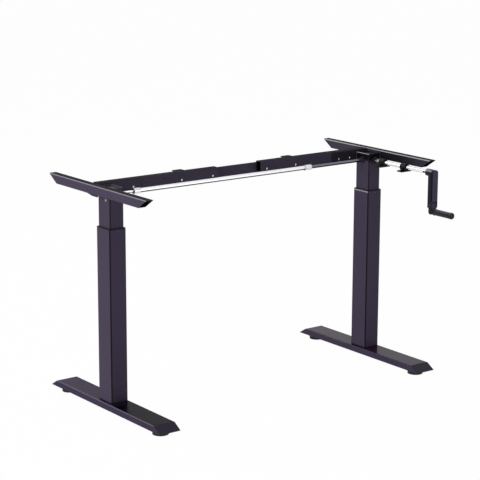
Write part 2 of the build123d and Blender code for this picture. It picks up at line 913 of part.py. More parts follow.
# Box tube under the table top, its ends cut sloping, with an opening below for the bolts
def side_bracket(side):
    start = start_x(side, bracket_inner_x, bracket_outer_x)
    with BuildPart() as bracket:
        with BuildSketch(Plane.YZ.offset(start)):
            with BuildLine():
                Polyline(
                    (-bracket_front_reach + bracket_end_run, bracket_bottom),
                    (bracket_rear_reach - bracket_end_run, bracket_bottom),
                    (bracket_rear_reach, table_height),
                    (-bracket_front_reach, table_height),
                    close=True,
                )
            make_face()
        extrude(amount=bracket_width)
        fillet(bracket.edges().filter_by(Axis.Y), bracket_sheet + bracket_bend)
        with BuildSketch(Plane.YZ.offset(start + bracket_sheet)):
            with Locations((bracket_middle_y, bracket_bottom + bracket_height / 2)):
                Rectangle(
                    bracket_front_reach + bracket_rear_reach,
                    bracket_height - 2 * bracket_sheet,
                )
        extrude(amount=bracket_width - 2 * bracket_sheet, mode=Mode.SUBTRACT)
        with BuildSketch(Plane.XY.offset(bracket_bottom)):
            with Locations((side * bracket_middle_x, bracket_opening_y)):
                Rectangle(
                    bracket_width - 2 * bracket_sheet - 2 * bracket_opening_lip,
                    bracket_opening_length,
                )
        extrude(amount=bracket_sheet, mode=Mode.SUBTRACT)
        with Locations((side * bracket_middle_x, 0, bracket_bottom + bracket_sheet)):
            with GridLocations(0, bracket_inner_hole_y, 1, 2):
                Hole(bracket_access_radius, depth=bracket_sheet)
        with Locations((side * bracket_middle_x, 0, table_height)):
            with GridLocations(0, bracket_outer_hole_y, 1, 2):
                Hole(bracket_hole_radius)
            with GridLocations(0, bracket_inner_hole_y, 1, 2):
                Hole(bracket_hole_radius)
        with BuildSketch(Plane.YZ.offset(side * bracket_inner_x)):
            with Locations(*[(y, bracket_bolt_z) for y in bracket_bolt_ys]):
                Circle(bracket_bolt_radius + bolt_gap)
        extrude(amount=side * bracket_sheet, mode=Mode.SUBTRACT)
    return bracket


# Plate on the outside of a column head, with a tab behind it that takes the angle arm
def head_plate_piece(side):
    start = start_x(side, head_plate_x, bracket_inner_x)
    with BuildPart() as plate:
        with BuildSketch(Plane.YZ.offset(start)):
            with BuildLine():
                Polyline(
                    (-inner_depth / 2, head_plate_bottom),
                    (inner_depth / 2, head_plate_bottom),
                    (inner_depth / 2, head_tab_bottom),
                    (beam_rear, head_tab_bottom),
                    (head_plate_rear, head_tab_bottom + head_tab_slope),
                    (head_plate_rear, head_plate_top),
                    (-inner_depth / 2, head_plate_top),
                    close=True,
                )
            make_face()
            with Locations(*[(y, bracket_bolt_z) for y in bracket_bolt_ys]):
                Circle(bracket_bolt_radius + fit_gap, mode=Mode.SUBTRACT)
        extrude(amount=head_plate)
    return plate


# Bolts inside the brackets, into the head plates
def bracket_bolts():
    with BuildPart() as bolts:
        for name, x, side in sides:
            seat = Plane.YZ.offset(side * (bracket_inner_x + bracket_sheet))
            with BuildSketch(seat):
                with Locations(*[(y, bracket_bolt_z) for y in bracket_bolt_ys]):
                    Circle(bracket_bolt_radius)
            extrude(amount=-side * (bracket_sheet + head_plate))
            with BuildSketch(seat):
                with Locations(*[(y, bracket_bolt_z) for y in bracket_bolt_ys]):
                    Circle(bracket_bolt_head_radius)
            extrude(amount=side * bracket_bolt_head_height)
    return bolts


# Angle behind a column head, which the beam's box rail sits in
def beam_arm(side):
    near = column_spacing / 2 - arm_reach
    with BuildPart() as arm:
        with BuildSketch(Plane.YZ.offset(start_x(side, near, head_plate_x))):
            with BuildLine():
                Polyline(
                    (arm_front, arm_bottom),
                    (beam_rear, arm_bottom),
                    (beam_rear, beam_bottom),
                    (beam_front, beam_bottom),
                    (beam_front, table_height - arm_top_drop),
                    (arm_front, table_height - arm_top_drop),
                    close=True,
                )
            make_face()
        extrude(amount=head_plate_x - near)
        with BuildSketch(Plane.XZ.offset(-beam_front)):
            with Locations(*[(side * x, beam_bolt_z) for x in arm_bolt_xs]):
                Circle(beam_hole_radius)
        extrude(amount=arm_sheet, mode=Mode.SUBTRACT)
    return arm


# Box rail of the rear beam
def beam_rail(side):
    far = head_plate_x - beam_end_gap
    with BuildPart() as rail:
        with BuildSketch(Plane.YZ.offset(start_x(side, beam_inner_x, far))):
            with Locations(((beam_front + beam_rear) / 2, table_height - beam_height / 2)):
                RectangleRounded(beam_depth, beam_height, beam_corner)
                Rectangle(beam_depth - 2 * beam_wall, beam_height - 2 * beam_wall, mode=Mode.SUBTRACT)
        extrude(amount=far - beam_inner_x)
        with BuildSketch(Plane.XZ.offset(-beam_rear)):
            with Locations(*[(side * x, beam_bolt_z) for x in arm_bolt_xs + rail_bolt_xs]):
                Circle(beam_hole_radius)
        extrude(amount=beam_depth, mode=Mode.SUBTRACT)
    return rail


# Channel behind the box rails, slotted so that the frame's width can be set
def centre_rail():
    web = beam_rear + centre_rail_sheet
    lip = beam_rear + centre_rail_depth
    top = centre_rail_bottom + centre_rail_height
    with BuildPart() as rail:
        with BuildSketch(Plane.YZ.offset(-centre_rail_half)):
            with BuildLine():
                Polyline(
                    (beam_rear, centre_rail_bottom),
                    (lip, centre_rail_bottom),
                    (lip, centre_rail_bottom + centre_rail_sheet),
                    (web, centre_rail_bottom + centre_rail_sheet),
                    (web, top - centre_rail_sheet),
                    (lip, top - centre_rail_sheet),
                    (lip, top),
                    (beam_rear, top),
                    close=True,
                )
            make_face()
        extrude(amount=2 * centre_rail_half)
        with BuildSketch(Plane.XZ.offset(-web)):
            with Locations(*[(side * x, beam_bolt_z) for side in (-1, 1) for x in rail_bolt_xs]):
                SlotOverall(beam_slot_length, 2 * beam_hole_radius)
        extrude(amount=centre_rail_sheet, mode=Mode.SUBTRACT)
    return rail


# Drilled tabs on the back of the beam, for screws into the table top
def table_lugs():
    with BuildPart() as lugs:
        with BuildSketch(Plane.XY.offset(table_height)):
            with Locations((-lug_x, beam_rear), (lug_x, beam_rear)):
                Rectangle(lug_width, lug_depth, align=(Align.CENTER, Align.MIN))
            with Locations((-lug_x, beam_rear + lug_depth / 2), (lug_x, beam_rear + lug_depth / 2)):
                Circle(lug_hole_radius, mode=Mode.SUBTRACT)
        extrude(amount=-lug_sheet)
        fillet(lugs.edges().filter_by(Axis.Z).group_by(Axis.Y)[-1], lug_corner)
    return lugs


# Round-headed bolts through the beam, from the front
def beam_bolts():
    seats = ((arm_front, beam_rear, arm_bolt_xs), (beam_front, beam_rear + centre_rail_sheet, rail_bolt_xs))
    with BuildPart() as bolts:
        for front, back, xs in seats:
            places = [(side * x, beam_bolt_z) for side in (-1, 1) for x in xs]
            with BuildSketch(Plane.XZ.offset(-back - beam_nut_height)):
                with Locations(*places):
                    Circle(beam_bolt_radius)
            extrude(amount=back + beam_nut_height - front)
            with BuildSketch(Plane.XZ.offset(-front)):
                with Locations(*places):
                    Circle(beam_bolt_head_radius)
            extrude(amount=beam_bolt_head_height)
    return bolts


# Nuts at the back of the beam
def beam_nuts():
    seats = ((beam_rear, arm_bolt_xs), (beam_rear + centre_rail_sheet, rail_bolt_xs))
    with BuildPart() as nuts:
        for back, xs in seats:
            with BuildSketch(Plane.XZ.offset(-back - beam_nut_height)):
                with Locations(*[(side * x, beam_bolt_z) for side in (-1, 1) for x in xs]):
                    RegularPolygon(beam_nut_hex / 2, 6, major_radius=False)
                    Circle(beam_bolt_radius + fit_gap, mode=Mode.SUBTRACT)
            extrude(amount=beam_nut_height)
    return nuts


# Pinion of the crank, with the shaft that the rod slides on
def crank_pinion(blank, place):
    with BuildPart() as pinion:
        with Locations(place):
            add(blank)
        with BuildSketch(Plane.XZ.offset(crank_journal_end)):
            with Locations((right, axis_z)):
                Circle(crank_shaft_radius)
        extrude(amount=crank_shaft_length)
    return pinion


# Rod from the gear case to the crank arm
def crank_rod():
    with BuildPart() as rod:
        with BuildSketch(Plane.XZ.offset(rod_start)):
            with Locations((right, axis_z)):
                Circle(crank_rod_radius)
        extrude(amount=rod_end - rod_start)
        with BuildSketch(Plane.XZ.offset(rod_start)):
            with Locations((right, axis_z)):
                Circle(crank_shaft_radius + fit_gap)
        extrude(amount=crank_journal_end + crank_shaft_length - rod_start, mode=Mode.SUBTRACT)
        with BuildSketch(Plane.YZ.offset(right)):
            with Locations((-snap_pin_reach, axis_z)):
                Circle(snap_pin_radius)
        extrude(amount=crank_rod_radius, both=True, mode=Mode.SUBTRACT)
    return rod


# Cross pin in front of the arm's hub
def snap_pin():
    half = crank_rod_radius + snap_pin_proud
    with BuildPart() as pin:
        with BuildSketch(Plane.YZ.offset(right - half)):
            with Locations((-snap_pin_reach, axis_z)):
                Circle(snap_pin_radius)
        extrude(amount=2 * half)
    return pin


# Arm with its hub at the top and a fork for the grip's elbow at the bottom
def crank_arm():
    top = axis_z + crank_arm_top
    bottom = axis_z - crank_arm_end
    half = crank_arm_width / 2
    with BuildPart() as arm:
        with BuildSketch(Plane.XZ.offset(arm_back)):
            with BuildLine() as outline:
                Polyline(
                    (right - half, bottom),
                    (right + half, bottom),
                    (right + half, top),
                    (right - half, top),
                    close=True,
                )
                fillet(outline.vertices().group_by(Axis.Y)[-1], crank_arm_round)
            make_face()
        extrude(amount=crank_arm_depth)
        fillet(arm.edges().group_by(Axis.Y)[0], crank_arm_edge)
        with BuildSketch(Plane.XZ.offset(crank_hub_reach)):
            with Locations((right, axis_z)):
                Circle(crank_hub_radius)
        extrude(amount=crank_hub_length)
        with BuildSketch(Plane.XZ.offset(crank_hub_reach)):
            with Locations((right, axis_z)):
                Circle(crank_rod_radius + fit_gap)
        extrude(amount=rod_end - crank_hub_reach, mode=Mode.SUBTRACT)
        with BuildSketch(Plane.XZ.offset(arm_back)):
            with Locations((right, bottom)):
                Rectangle(
                    elbow_width + 2 * fork_gap,
                    fold_z + elbow_radius + 2 * fork_gap - bottom,
                    align=(Align.CENTER, Align.MIN),
                )
        extrude(amount=crank_arm_depth, mode=Mode.SUBTRACT)
        with BuildSketch(Plane.YZ.offset(right - half)):
            with Locations((-arm_middle, fold_z)):
                Circle(fold_pin_radius)
        extrude(amount=crank_arm_width, mode=Mode.SUBTRACT)
    return arm


# Pin through the fork
def fold_pin():
    with BuildPart() as pin:
        with BuildSketch(Plane.YZ.offset(right - crank_arm_width / 2)):
            with Locations((-arm_middle, fold_z)):
                Circle(fold_pin_radius)
        extrude(amount=crank_arm_width)
    return pin


# Elbow that folds in the fork and carries the grip's pin
def grip_elbow():
    with BuildPart() as elbow:
        with BuildSketch(Plane.YZ.offset(right - elbow_width / 2)):
            with Locations((-arm_middle, (fold_z + grip_z) / 2)):
                SlotCenterToCenter(fold_z - grip_z, 2 * elbow_radius, rotation=90)
        extrude(amount=elbow_width)
        outer_edges = elbow.edges().group_by(Axis.X)
        fillet(outer_edges[0] + outer_edges[-1], elbow_edge)
        with BuildSketch(Plane.XZ.offset(arm_middle)):
            with Locations((right, grip_z)):
                Circle(elbow_radius)
        extrude(amount=elbow_radius)
        with BuildSketch(Plane.XZ.offset(elbow_face)):
            with Locations((right, grip_z)):
                Circle(grip_collar_radius)
        extrude(amount=grip_collar_length)
        with BuildSketch(Plane.XZ.offset(grip_pin_start)):
            with Locations((right, grip_z)):
                Circle(grip_pin_radius)
        extrude(amount=grip_pin_in_elbow + grip_collar_length, mode=Mode.SUBTRACT)
        with BuildSketch(Plane.YZ.offset(right - elbow_width / 2)):
            with Locations((-arm_middle, fold_z)):
                Circle(fold_pin_radius + run_gap)
        extrude(amount=elbow_width, mode=Mode.SUBTRACT)
    return elbow


# Pin that the grip turns on
def grip_pin():
    with BuildPart() as pin:
        with BuildSketch(Plane.XZ.offset(grip_pin_start)):
            with Locations((right, grip_z)):
                Circle(grip_pin_radius)
        extrude(amount=grip_pin_end - grip_pin_start)
    return pin


# Turning grip with a rounded knob at its end
def grip_sleeve():
    with BuildPart() as sleeve:
        with BuildSketch(Plane.XZ.offset(grip_start)):
            with Locations((right, grip_z)):
                Circle(grip_radius)
        extrude(amount=grip_length - grip_knob_length)
        with BuildSketch(Plane.XZ.offset(grip_end - grip_knob_length)):
            with Locations((right, grip_z)):
                Circle(grip_radius - grip_neck / 2)
        extrude(amount=grip_neck)
        with BuildSketch(Plane.XZ.offset(grip_end - grip_knob_length + grip_neck)):
            with Locations((right, grip_z)):
                Circle(grip_knob_radius)
        extrude(amount=grip_knob_length - grip_neck)
        fillet(sleeve.edges().group_by(Axis.Y)[0], grip_knob_edge)
        with BuildSketch(Plane.XZ.offset(grip_start)):
            with Locations((right, grip_z)):
                Circle(grip_pin_radius + run_gap)
        extrude(amount=grip_pin_end + grip_end_gap - grip_start, mode=Mode.SUBTRACT)
    return sleeve


# Hanger loose on the crank rod: a bored web over a drilled flange
def rod_hanger(reach):
    flange_bottom = axis_z - hanger_flange_drop
    with BuildPart() as hanger:
        with BuildSketch(Plane.XY.offset(flange_bottom)):
            with Locations((right, -reach)):
                RectangleRounded(hanger_flange_width, hanger_flange_depth, hanger_corner)
                with GridLocations(hanger_hole_spacing, 0, 2, 1):
                    Circle(hanger_hole_radius, mode=Mode.SUBTRACT)
        extrude(amount=hanger_flange)
        with BuildSketch(Plane.XZ.offset(reach - hanger_web / 2)):
            with Locations((right, axis_z)):
                Rectangle(hanger_web_width, hanger_flange_drop, align=(Align.CENTER, Align.MAX))
        extrude(amount=hanger_web)
        with BuildSketch(Plane.XZ.offset(reach - hanger_bore_length / 2)):
            with Locations((right, axis_z)):
                Circle(hanger_ring_radius)
        extrude(amount=hanger_bore_length)
        with BuildSketch(Plane.XZ.offset(reach - hanger_flange_depth)):
            with Locations((right, axis_z)):
                Circle(crank_rod_radius + run_gap)
        extrude(amount=2 * hanger_flange_depth, mode=Mode.SUBTRACT)
    return hanger


os.makedirs("parts", exist_ok=True)

# Gear blanks: the large gear's hub stands on the case floor, each pinion's shank runs out through its boss
half_tooth = 180 / pinion_teeth
gear_blank = bevel_blank(
    gear_pitch_radius, gear_angle, gear_teeth, gear_hub_radius, case_floor_drop - slide_gap
)
drive_blank = bevel_blank(
    pinion_pitch_radius, pinion_angle, pinion_teeth, journal_radius, drive_journal_end
)
crank_blank = bevel_blank(
    pinion_pitch_radius, pinion_angle, pinion_teeth, journal_radius, crank_journal_end
)

# Each pinion points its teeth at the screw's axis, turned so that a gap faces down
left_pinion_place = Plane((left, 0, axis_z), x_dir=(0, 0, 1), z_dir=(-1, 0, 0)).location
right_pinion_place = Plane((right, 0, axis_z), x_dir=(0, 0, 1), z_dir=(1, 0, 0)).location
crank_pinion_place = Plane((right, 0, axis_z), x_dir=(0, 0, 1), z_dir=(0, 1, 0)).location
half_tooth_turn = Location((0, 0, 0), (0, 0, half_tooth))

for name, x, side in sides:
    write(foot(x), f"{name}_foot")
    write(outer_column(x), f"{name}_outer_column")
    write(glide(x, -glide_y), f"{name}_front_glide")
    write(glide(x, glide_y), f"{name}_rear_glide")
    write(inner_column(x, side), f"{name}_inner_column")
    write(lead_screw(x), f"{name}_lead_screw")
    write(screw_gear(x, gear_blank), f"{name}_screw_gear")
    write(head_plate_piece(side), f"{name}_head_plate")
    write(beam_arm(side), f"{name}_beam_arm")
    write(beam_rail(side), f"{name}_beam_rail")
    write(side_bracket(side), f"{name}_side_bracket")

write(both(column_bush(left), column_bush(right)), "column_bushes")
write(both(nut_tube(left), nut_tube(right)), "nut_tubes")
write(both(lead_nut(left), lead_nut(right)), "lead_nuts")
write(both(slide_shoe(left), slide_shoe(right)), "slide_shoes")
write(both(gear_case(left, -1), gear_case(right, 1)), "gear_cases")
write(both(gear_cover(left, -1), gear_cover(right, 1)), "gear_covers")

left_boss_face = Plane((left, 0, axis_z), x_dir=(0, 0, 1), z_dir=(1, 0, 0))
right_boss_face = Plane((right, 0, axis_z), x_dir=(0, 0, 1), z_dir=(-1, 0, 0))
crank_boss_face = Plane((right, 0, axis_z), x_dir=(0, 0, 1), z_dir=(0, -1, 0))
left_boss = shaft_boss(left_boss_face, inner_width / 2, drive_boss_nose, drive_boss_nose_radius)
right_boss = shaft_boss(right_boss_face, inner_width / 2, drive_boss_nose, drive_boss_nose_radius)
write(both(left_boss, right_boss), "drive_bosses")
write(shaft_boss(crank_boss_face, inner_depth / 2, crank_boss_nose, crank_boss_nose_radius), "crank_boss")

write(backing_plates(), "foot_backing_plates")
write(foot_bolts(), "foot_bolts")
write(glide_nuts(), "glide_nuts")
write(base_plates(), "column_base_plates")
write(column_bush_screws(), "column_bush_screws")
write(case_screws(), "gear_case_screws")
write(thrust_bearings(), "thrust_bearings")
write(bracket_bolts(), "bracket_bolts")
write(centre_rail(), "centre_rail")
write(table_lugs(), "table_lugs")
write(beam_bolts(), "beam_bolts")
write(beam_nuts(), "beam_nuts")

write(left_drive_pinion(drive_blank, left_pinion_place * half_tooth_turn), "left_drive_pinion")
write(right_drive_pinion(drive_blank, right_pinion_place * half_tooth_turn), "right_drive_pinion")
write(left_drive_collar(), "left_drive_collar")
write(right_drive_collar(), "right_drive_collar")
write(collar_screws(), "collar_screws")
write(drive_tube(), "drive_tube")
write(hexagon_rod(), "hexagon_rod")

write(crank_pinion(crank_blank, crank_pinion_place * half_tooth_turn), "crank_pinion")
write(crank_rod(), "crank_rod")
write(snap_pin(), "snap_pin")
write(crank_arm(), "crank_arm")
write(fold_pin(), "fold_pin")
write(grip_elbow(), "grip_elbow")
write(grip_pin(), "grip_pin")
write(grip_sleeve(), "grip_sleeve")
write(rod_hanger(hanger_rear_reach), "rear_rod_hanger")
write(rod_hanger(hanger_front_reach), "front_rod_hanger")
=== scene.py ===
import json
import math

import bpy
from mathutils import Matrix, Vector


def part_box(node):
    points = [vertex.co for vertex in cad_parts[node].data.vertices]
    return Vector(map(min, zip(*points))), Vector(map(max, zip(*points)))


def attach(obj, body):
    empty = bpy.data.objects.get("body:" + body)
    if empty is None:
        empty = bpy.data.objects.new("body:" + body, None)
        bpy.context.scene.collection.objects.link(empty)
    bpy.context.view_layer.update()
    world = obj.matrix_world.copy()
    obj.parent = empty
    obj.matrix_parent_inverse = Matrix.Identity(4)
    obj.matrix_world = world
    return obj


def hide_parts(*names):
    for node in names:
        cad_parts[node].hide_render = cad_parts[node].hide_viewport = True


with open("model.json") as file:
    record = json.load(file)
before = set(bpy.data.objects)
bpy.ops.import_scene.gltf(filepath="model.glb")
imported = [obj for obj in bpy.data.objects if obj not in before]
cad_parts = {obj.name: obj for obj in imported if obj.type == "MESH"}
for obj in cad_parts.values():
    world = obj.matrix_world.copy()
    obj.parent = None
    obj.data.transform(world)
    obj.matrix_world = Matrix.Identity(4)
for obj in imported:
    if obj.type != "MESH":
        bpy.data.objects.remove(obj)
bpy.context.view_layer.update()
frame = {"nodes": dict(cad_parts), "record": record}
nodes = frame["nodes"]
scene = bpy.context.scene
print("frame loaded:", len(nodes), "nodes")


# one tree node, its inputs given by name, or by place as i0, i1 ...
def addNode(tree, kind, **inputs):
    node = tree.nodes.new(kind)
    for key, value in inputs.items():
        socket = node.inputs[int(key[1:])] if key[1:].isdigit() else node.inputs[key.replace("_", " ")]
        if isinstance(value, bpy.types.NodeSocket):
            tree.links.new(value, socket)
        else:
            socket.default_value = value
    return node


def addMath(tree, operation, first, second=0.5):
    node = addNode(tree, "ShaderNodeMath", i0=first, i1=second)
    node.operation = operation
    return node.outputs[0]


def addTimes(tree, value, times):
    return addMath(tree, "MULTIPLY", value, times)


# a value carried from one span to another, clamped
def addSpan(tree, value, fromLow, fromHigh, toLow, toHigh):
    node = addNode(tree, "ShaderNodeMapRange", Value=value)
    names = ("From Min", "From Max", "To Min", "To Max")
    for name, level in zip(names, (fromLow, fromHigh, toLow, toHigh)):
        node.inputs[name].default_value = level
    return node.outputs["Result"]


# first colour where share is 0, second where it is 1
def addBlend(tree, share, first, second):
    node = tree.nodes.new("ShaderNodeMix")
    node.data_type = "RGBA"
    tree.links.new(share, node.inputs["Factor"])
    for socket, colour in ((node.inputs[6], first), (node.inputs[7], second)):
        if isinstance(colour, bpy.types.NodeSocket):
            tree.links.new(colour, socket)
        else:
            socket.default_value = (*colour, 1)
    return node.outputs[2]


# shared by all finishes: part of the noise that the cloud uses, normals that count as leftward,
# likeness of normals from flat to sharp edge, and how far a face looks inwards in a bore, in metres
finishLimits = dict(cloud=(0.3, 0.7), cloudDetail=4.0, grainDetail=2.0, leftward=(-0.6, -0.9),
                    edge=(1.0, 0.8), edgeSamples=4, inward=-0.001)


# Every finish is built alike from its own numbers: a cloudy colour, uneven gloss, a fine grain as
# bump, sharp edges rubbed lighter as wear, and their own tones for folds, faces and ends, mostly painted light
# and shade.
def makeFinish(name, look):
    material = bpy.data.materials.new(name)
    material.use_nodes = True
    tree = material.node_tree
    shader = tree.nodes["Principled BSDF"]
    place = tree.nodes.new("ShaderNodeTexCoord")
    stretched = addNode(tree, "ShaderNodeMapping", Vector=place.outputs["Object"])
    stretched.inputs["Scale"].default_value = look.get("stretch", (1, 1, 1))
    cloud = addNode(tree, "ShaderNodeTexNoise", Vector=stretched.outputs[0], Scale=look["cloudScale"],
                    Detail=finishLimits["cloudDetail"])
    grain = addNode(tree, "ShaderNodeTexNoise", Vector=stretched.outputs[0], Scale=look["grainScale"],
                    Detail=finishLimits["grainDetail"])
    lighter = addSpan(tree, cloud.outputs["Fac"], *finishLimits["cloud"], 0, 1)
    colour = addBlend(tree, lighter, look["dark"], look["light"])

    facing = addNode(tree, "ShaderNodeSeparateXYZ", Vector=place.outputs["Normal"])
    spot = addNode(tree, "ShaderNodeSeparateXYZ", Vector=place.outputs["Object"])

    # tones of faces that look along the named axes (a fold looks along two at once); each of a tone's
    # places names an axis, where the tone starts along it and where it is full
    for tone in look.get("tones", ()):
        share = 1.0
        for axis in tone["axes"]:
            share = addTimes(tree, facing.outputs[axis], share)
        share = addSpan(tree, addMath(tree, "ABSOLUTE", share), *tone["span"], 0, tone["share"])
        for axis, start, full in tone.get("places", ()):
            share = addTimes(tree, addSpan(tree, spot.outputs[axis], start, full, 0, 1), share)
        colour = addBlend(tree, share, colour, tone["colour"])

    # a painted highlight on the left-looking faces of a cut rim, rimDepth down from the top
    if "rimTop" in look:
        rimLow = look["rimTop"] - look["rimDepth"]
        high = addSpan(tree, spot.outputs["Z"], rimLow, rimLow + look["rimDepth"] / 2, 0, 1)
        leftward = addSpan(tree, facing.outputs["X"], *finishLimits["leftward"], 0, 1)
        colour = addBlend(tree, addTimes(tree, high, leftward), colour, look["rimHighlight"])

    # inside a tube or channel the faces look towards its axis, and take a painted shade (in the left inner column
    # a painted light)
    if "bore" in look:
        outward = 0.0
        for axis, middle in look["bore"].items():
            fromAxis = addMath(tree, "SUBTRACT", spot.outputs[axis], middle)
            outward = addMath(tree, "ADD", addTimes(tree, fromAxis, facing.outputs[axis]), outward)
        inside = addMath(tree, "LESS_THAN", outward, finishLimits["inward"])
        colour = addBlend(tree, inside, colour, look["boreShading"])

    # a painted shade line along a tube, on its side that looks away from the light
    if "shadedSide" in look:
        sideY, sideZ = look["shadedSide"]
        fromAxis = addMath(tree, "SUBTRACT", spot.outputs["Z"], look["shadedAxis"])
        alongY, alongZ = addTimes(tree, spot.outputs["Y"], sideY), addTimes(tree, fromAxis, sideZ)
        reach = addMath(tree, "ADD", alongY, alongZ)
        shadeLine = addSpan(tree, reach, look["shadeLineStart"], look["shadeLineFull"], 0, look["shadeLineShare"])
        colour = addBlend(tree, shadeLine, colour, look["shadeLineColour"])

    # a rounded normal that leaves the true one marks a sharp edge, rubbed lighter as wear; on the left foot the
    # edge tone is also a painted highlight, on the collars painted shade
    rounded = addNode(tree, "ShaderNodeBevel", Radius=look["edgeRadius"])
    rounded.samples = finishLimits["edgeSamples"]
    geometry = tree.nodes.new("ShaderNodeNewGeometry")
    alike = addNode(tree, "ShaderNodeVectorMath", i0=rounded.outputs[0], i1=geometry.outputs["Normal"])
    alike.operation = "DOT_PRODUCT"
    edge = addSpan(tree, alike.outputs["Value"], *finishLimits["edge"], 0, look["edgeWearAndLightShare"])
    colour = addBlend(tree, edge, colour, look["edgeWearAndLightColour"])
    tree.links.new(colour, shader.inputs["Base Color"])

    gloss = addSpan(tree, cloud.outputs["Fac"], *finishLimits["cloud"], look["roughLow"], look["roughHigh"])
    tree.links.new(gloss, shader.inputs["Roughness"])
    bump = addNode(tree, "ShaderNodeBump", Height=grain.outputs["Fac"], Normal=rounded.outputs[0])
    bump.inputs["Strength"].default_value = look["grainStrength"]
    bump.inputs["Distance"].default_value = look["grainDepth"]
    tree.links.new(bump.outputs[0], shader.inputs["Normal"])
    shader.inputs["Metallic"].default_value = look["metal"]
    shader.inputs["Specular IOR Level"].default_value = look["specular"]
    return material


# middle of a CAD node's box along one axis
def middleOf(node, axis):
    low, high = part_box(node)
    return (low[axis] + high[axis]) / 2


columnX = middleOf("right_inner_column", 0)
shaftZ = middleOf("drive_tube", 2)
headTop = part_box("right_inner_column")[1][2]
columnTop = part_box("right_outer_column")[1][2]
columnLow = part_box("right_outer_column")[0][2]
bracketX = middleOf("right_side_bracket", 0)
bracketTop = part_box("right_side_bracket")[1][2]
armFront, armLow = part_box("crank_arm")[0][1:]
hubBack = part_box("crank_arm")[1][1]
gripZ = middleOf("grip_sleeve", 2)

# how far a face has to look along a tone's axes for the tone to start and to be full
foldSpan, topSpan, sideSpan, allOver = (0.12, 0.4), (0.8, 0.95), (0.5, 0.9), (0, 1)
# places along an axis that several tones share
leftHalf = ("X", 0.0, -0.1)
bracketFront = ("Y", 0.06, 0.0)
bracketFold = ("Z", bracketTop - 0.010, bracketTop - 0.006)
shaftShadedSide = (-0.543, -0.84)  # side of the line shaft that looks away from the light, as Y and Z

powderCoat = dict(
    dark=(0.047, 0.034, 0.067), light=(0.054, 0.040, 0.076), cloudScale=6, grainScale=900,
    grainStrength=0.25, grainDepth=0.0004, roughLow=0.36, roughHigh=0.46, metal=0, specular=0.10,
    edgeRadius=0.0012, edgeWearAndLightShare=0.35, edgeWearAndLightColour=(0.11, 0.10, 0.13), boreShading=(0.026, 0.022, 0.030))
# the columns' coat: painted shade in the fold between the left and front faces, and a painted shadow line low on
# the columns, just above the feet
columnCoat = dict(
    powderCoat, tones=(
        dict(axes="XY", span=foldSpan, share=0.97, colour=(0.002, 0.001, 0.004)),
        dict(axes="", span=allOver, share=0.9, colour=(0.002, 0.001, 0.003),
             places=(("Z", columnLow + 0.008, columnLow + 0.002),))))
headShade = dict(
    axes="", span=allOver, share=0.92, colour=(0.001, 0.001, 0.002),
    places=(("Z", headTop - 0.032, headTop - 0.022),))
# a painted highlight along the feet's folds
footFoldHighlight = dict(axes="XZ", span=foldSpan, share=0.9, colour=(0.15, 0.135, 0.175))
footEnd = dict(axes="YZ", span=foldSpan, share=1, colour=(0.040, 0.034, 0.053))
footCoat = dict(
    powderCoat, dark=(0.048, 0.035, 0.071), light=(0.055, 0.041, 0.081), roughLow=0.26, roughHigh=0.34,
    specular=0.02)
mattCoat = dict(powderCoat, roughLow=0.70, roughHigh=0.80, specular=0.05)
# painted shade that darkens the tops of the beam, rails, arms and brackets
topShadeTone = dict(axes="Z", span=topSpan, share=1, colour=(0.010, 0.009, 0.012))
beamCoat = dict(mattCoat, dark=(0.052, 0.043, 0.068), light=(0.059, 0.049, 0.076), tones=(topShadeTone,))
mouldedBlack = dict(
    dark=(0.012, 0.010, 0.015), light=(0.020, 0.017, 0.024), cloudScale=20, grainScale=2000,
    grainStrength=0.15, grainDepth=0.0002, roughLow=0.38, roughHigh=0.5, metal=0, specular=0.3,
    edgeRadius=0.0006, edgeWearAndLightShare=0.25, edgeWearAndLightColour=(0.06, 0.055, 0.065))
brightZinc = dict(
    dark=(0.84, 0.84, 0.86), light=(0.95, 0.95, 0.96), cloudScale=14, grainScale=900,
    grainStrength=0.06, grainDepth=0.0001, roughLow=0.16, roughHigh=0.26, metal=1, specular=0.5,
    edgeRadius=0.0005, edgeWearAndLightShare=0.3, edgeWearAndLightColour=(0.97, 0.97, 0.97))
blackSteel = dict(
    dark=(0.030, 0.028, 0.034), light=(0.050, 0.046, 0.054), cloudScale=24, grainScale=1500,
    grainStrength=0.1, grainDepth=0.0002, roughLow=0.28, roughHigh=0.4, metal=0.4, specular=0.5,
    edgeRadius=0.0005, edgeWearAndLightShare=0.5, edgeWearAndLightColour=(0.25, 0.25, 0.26))

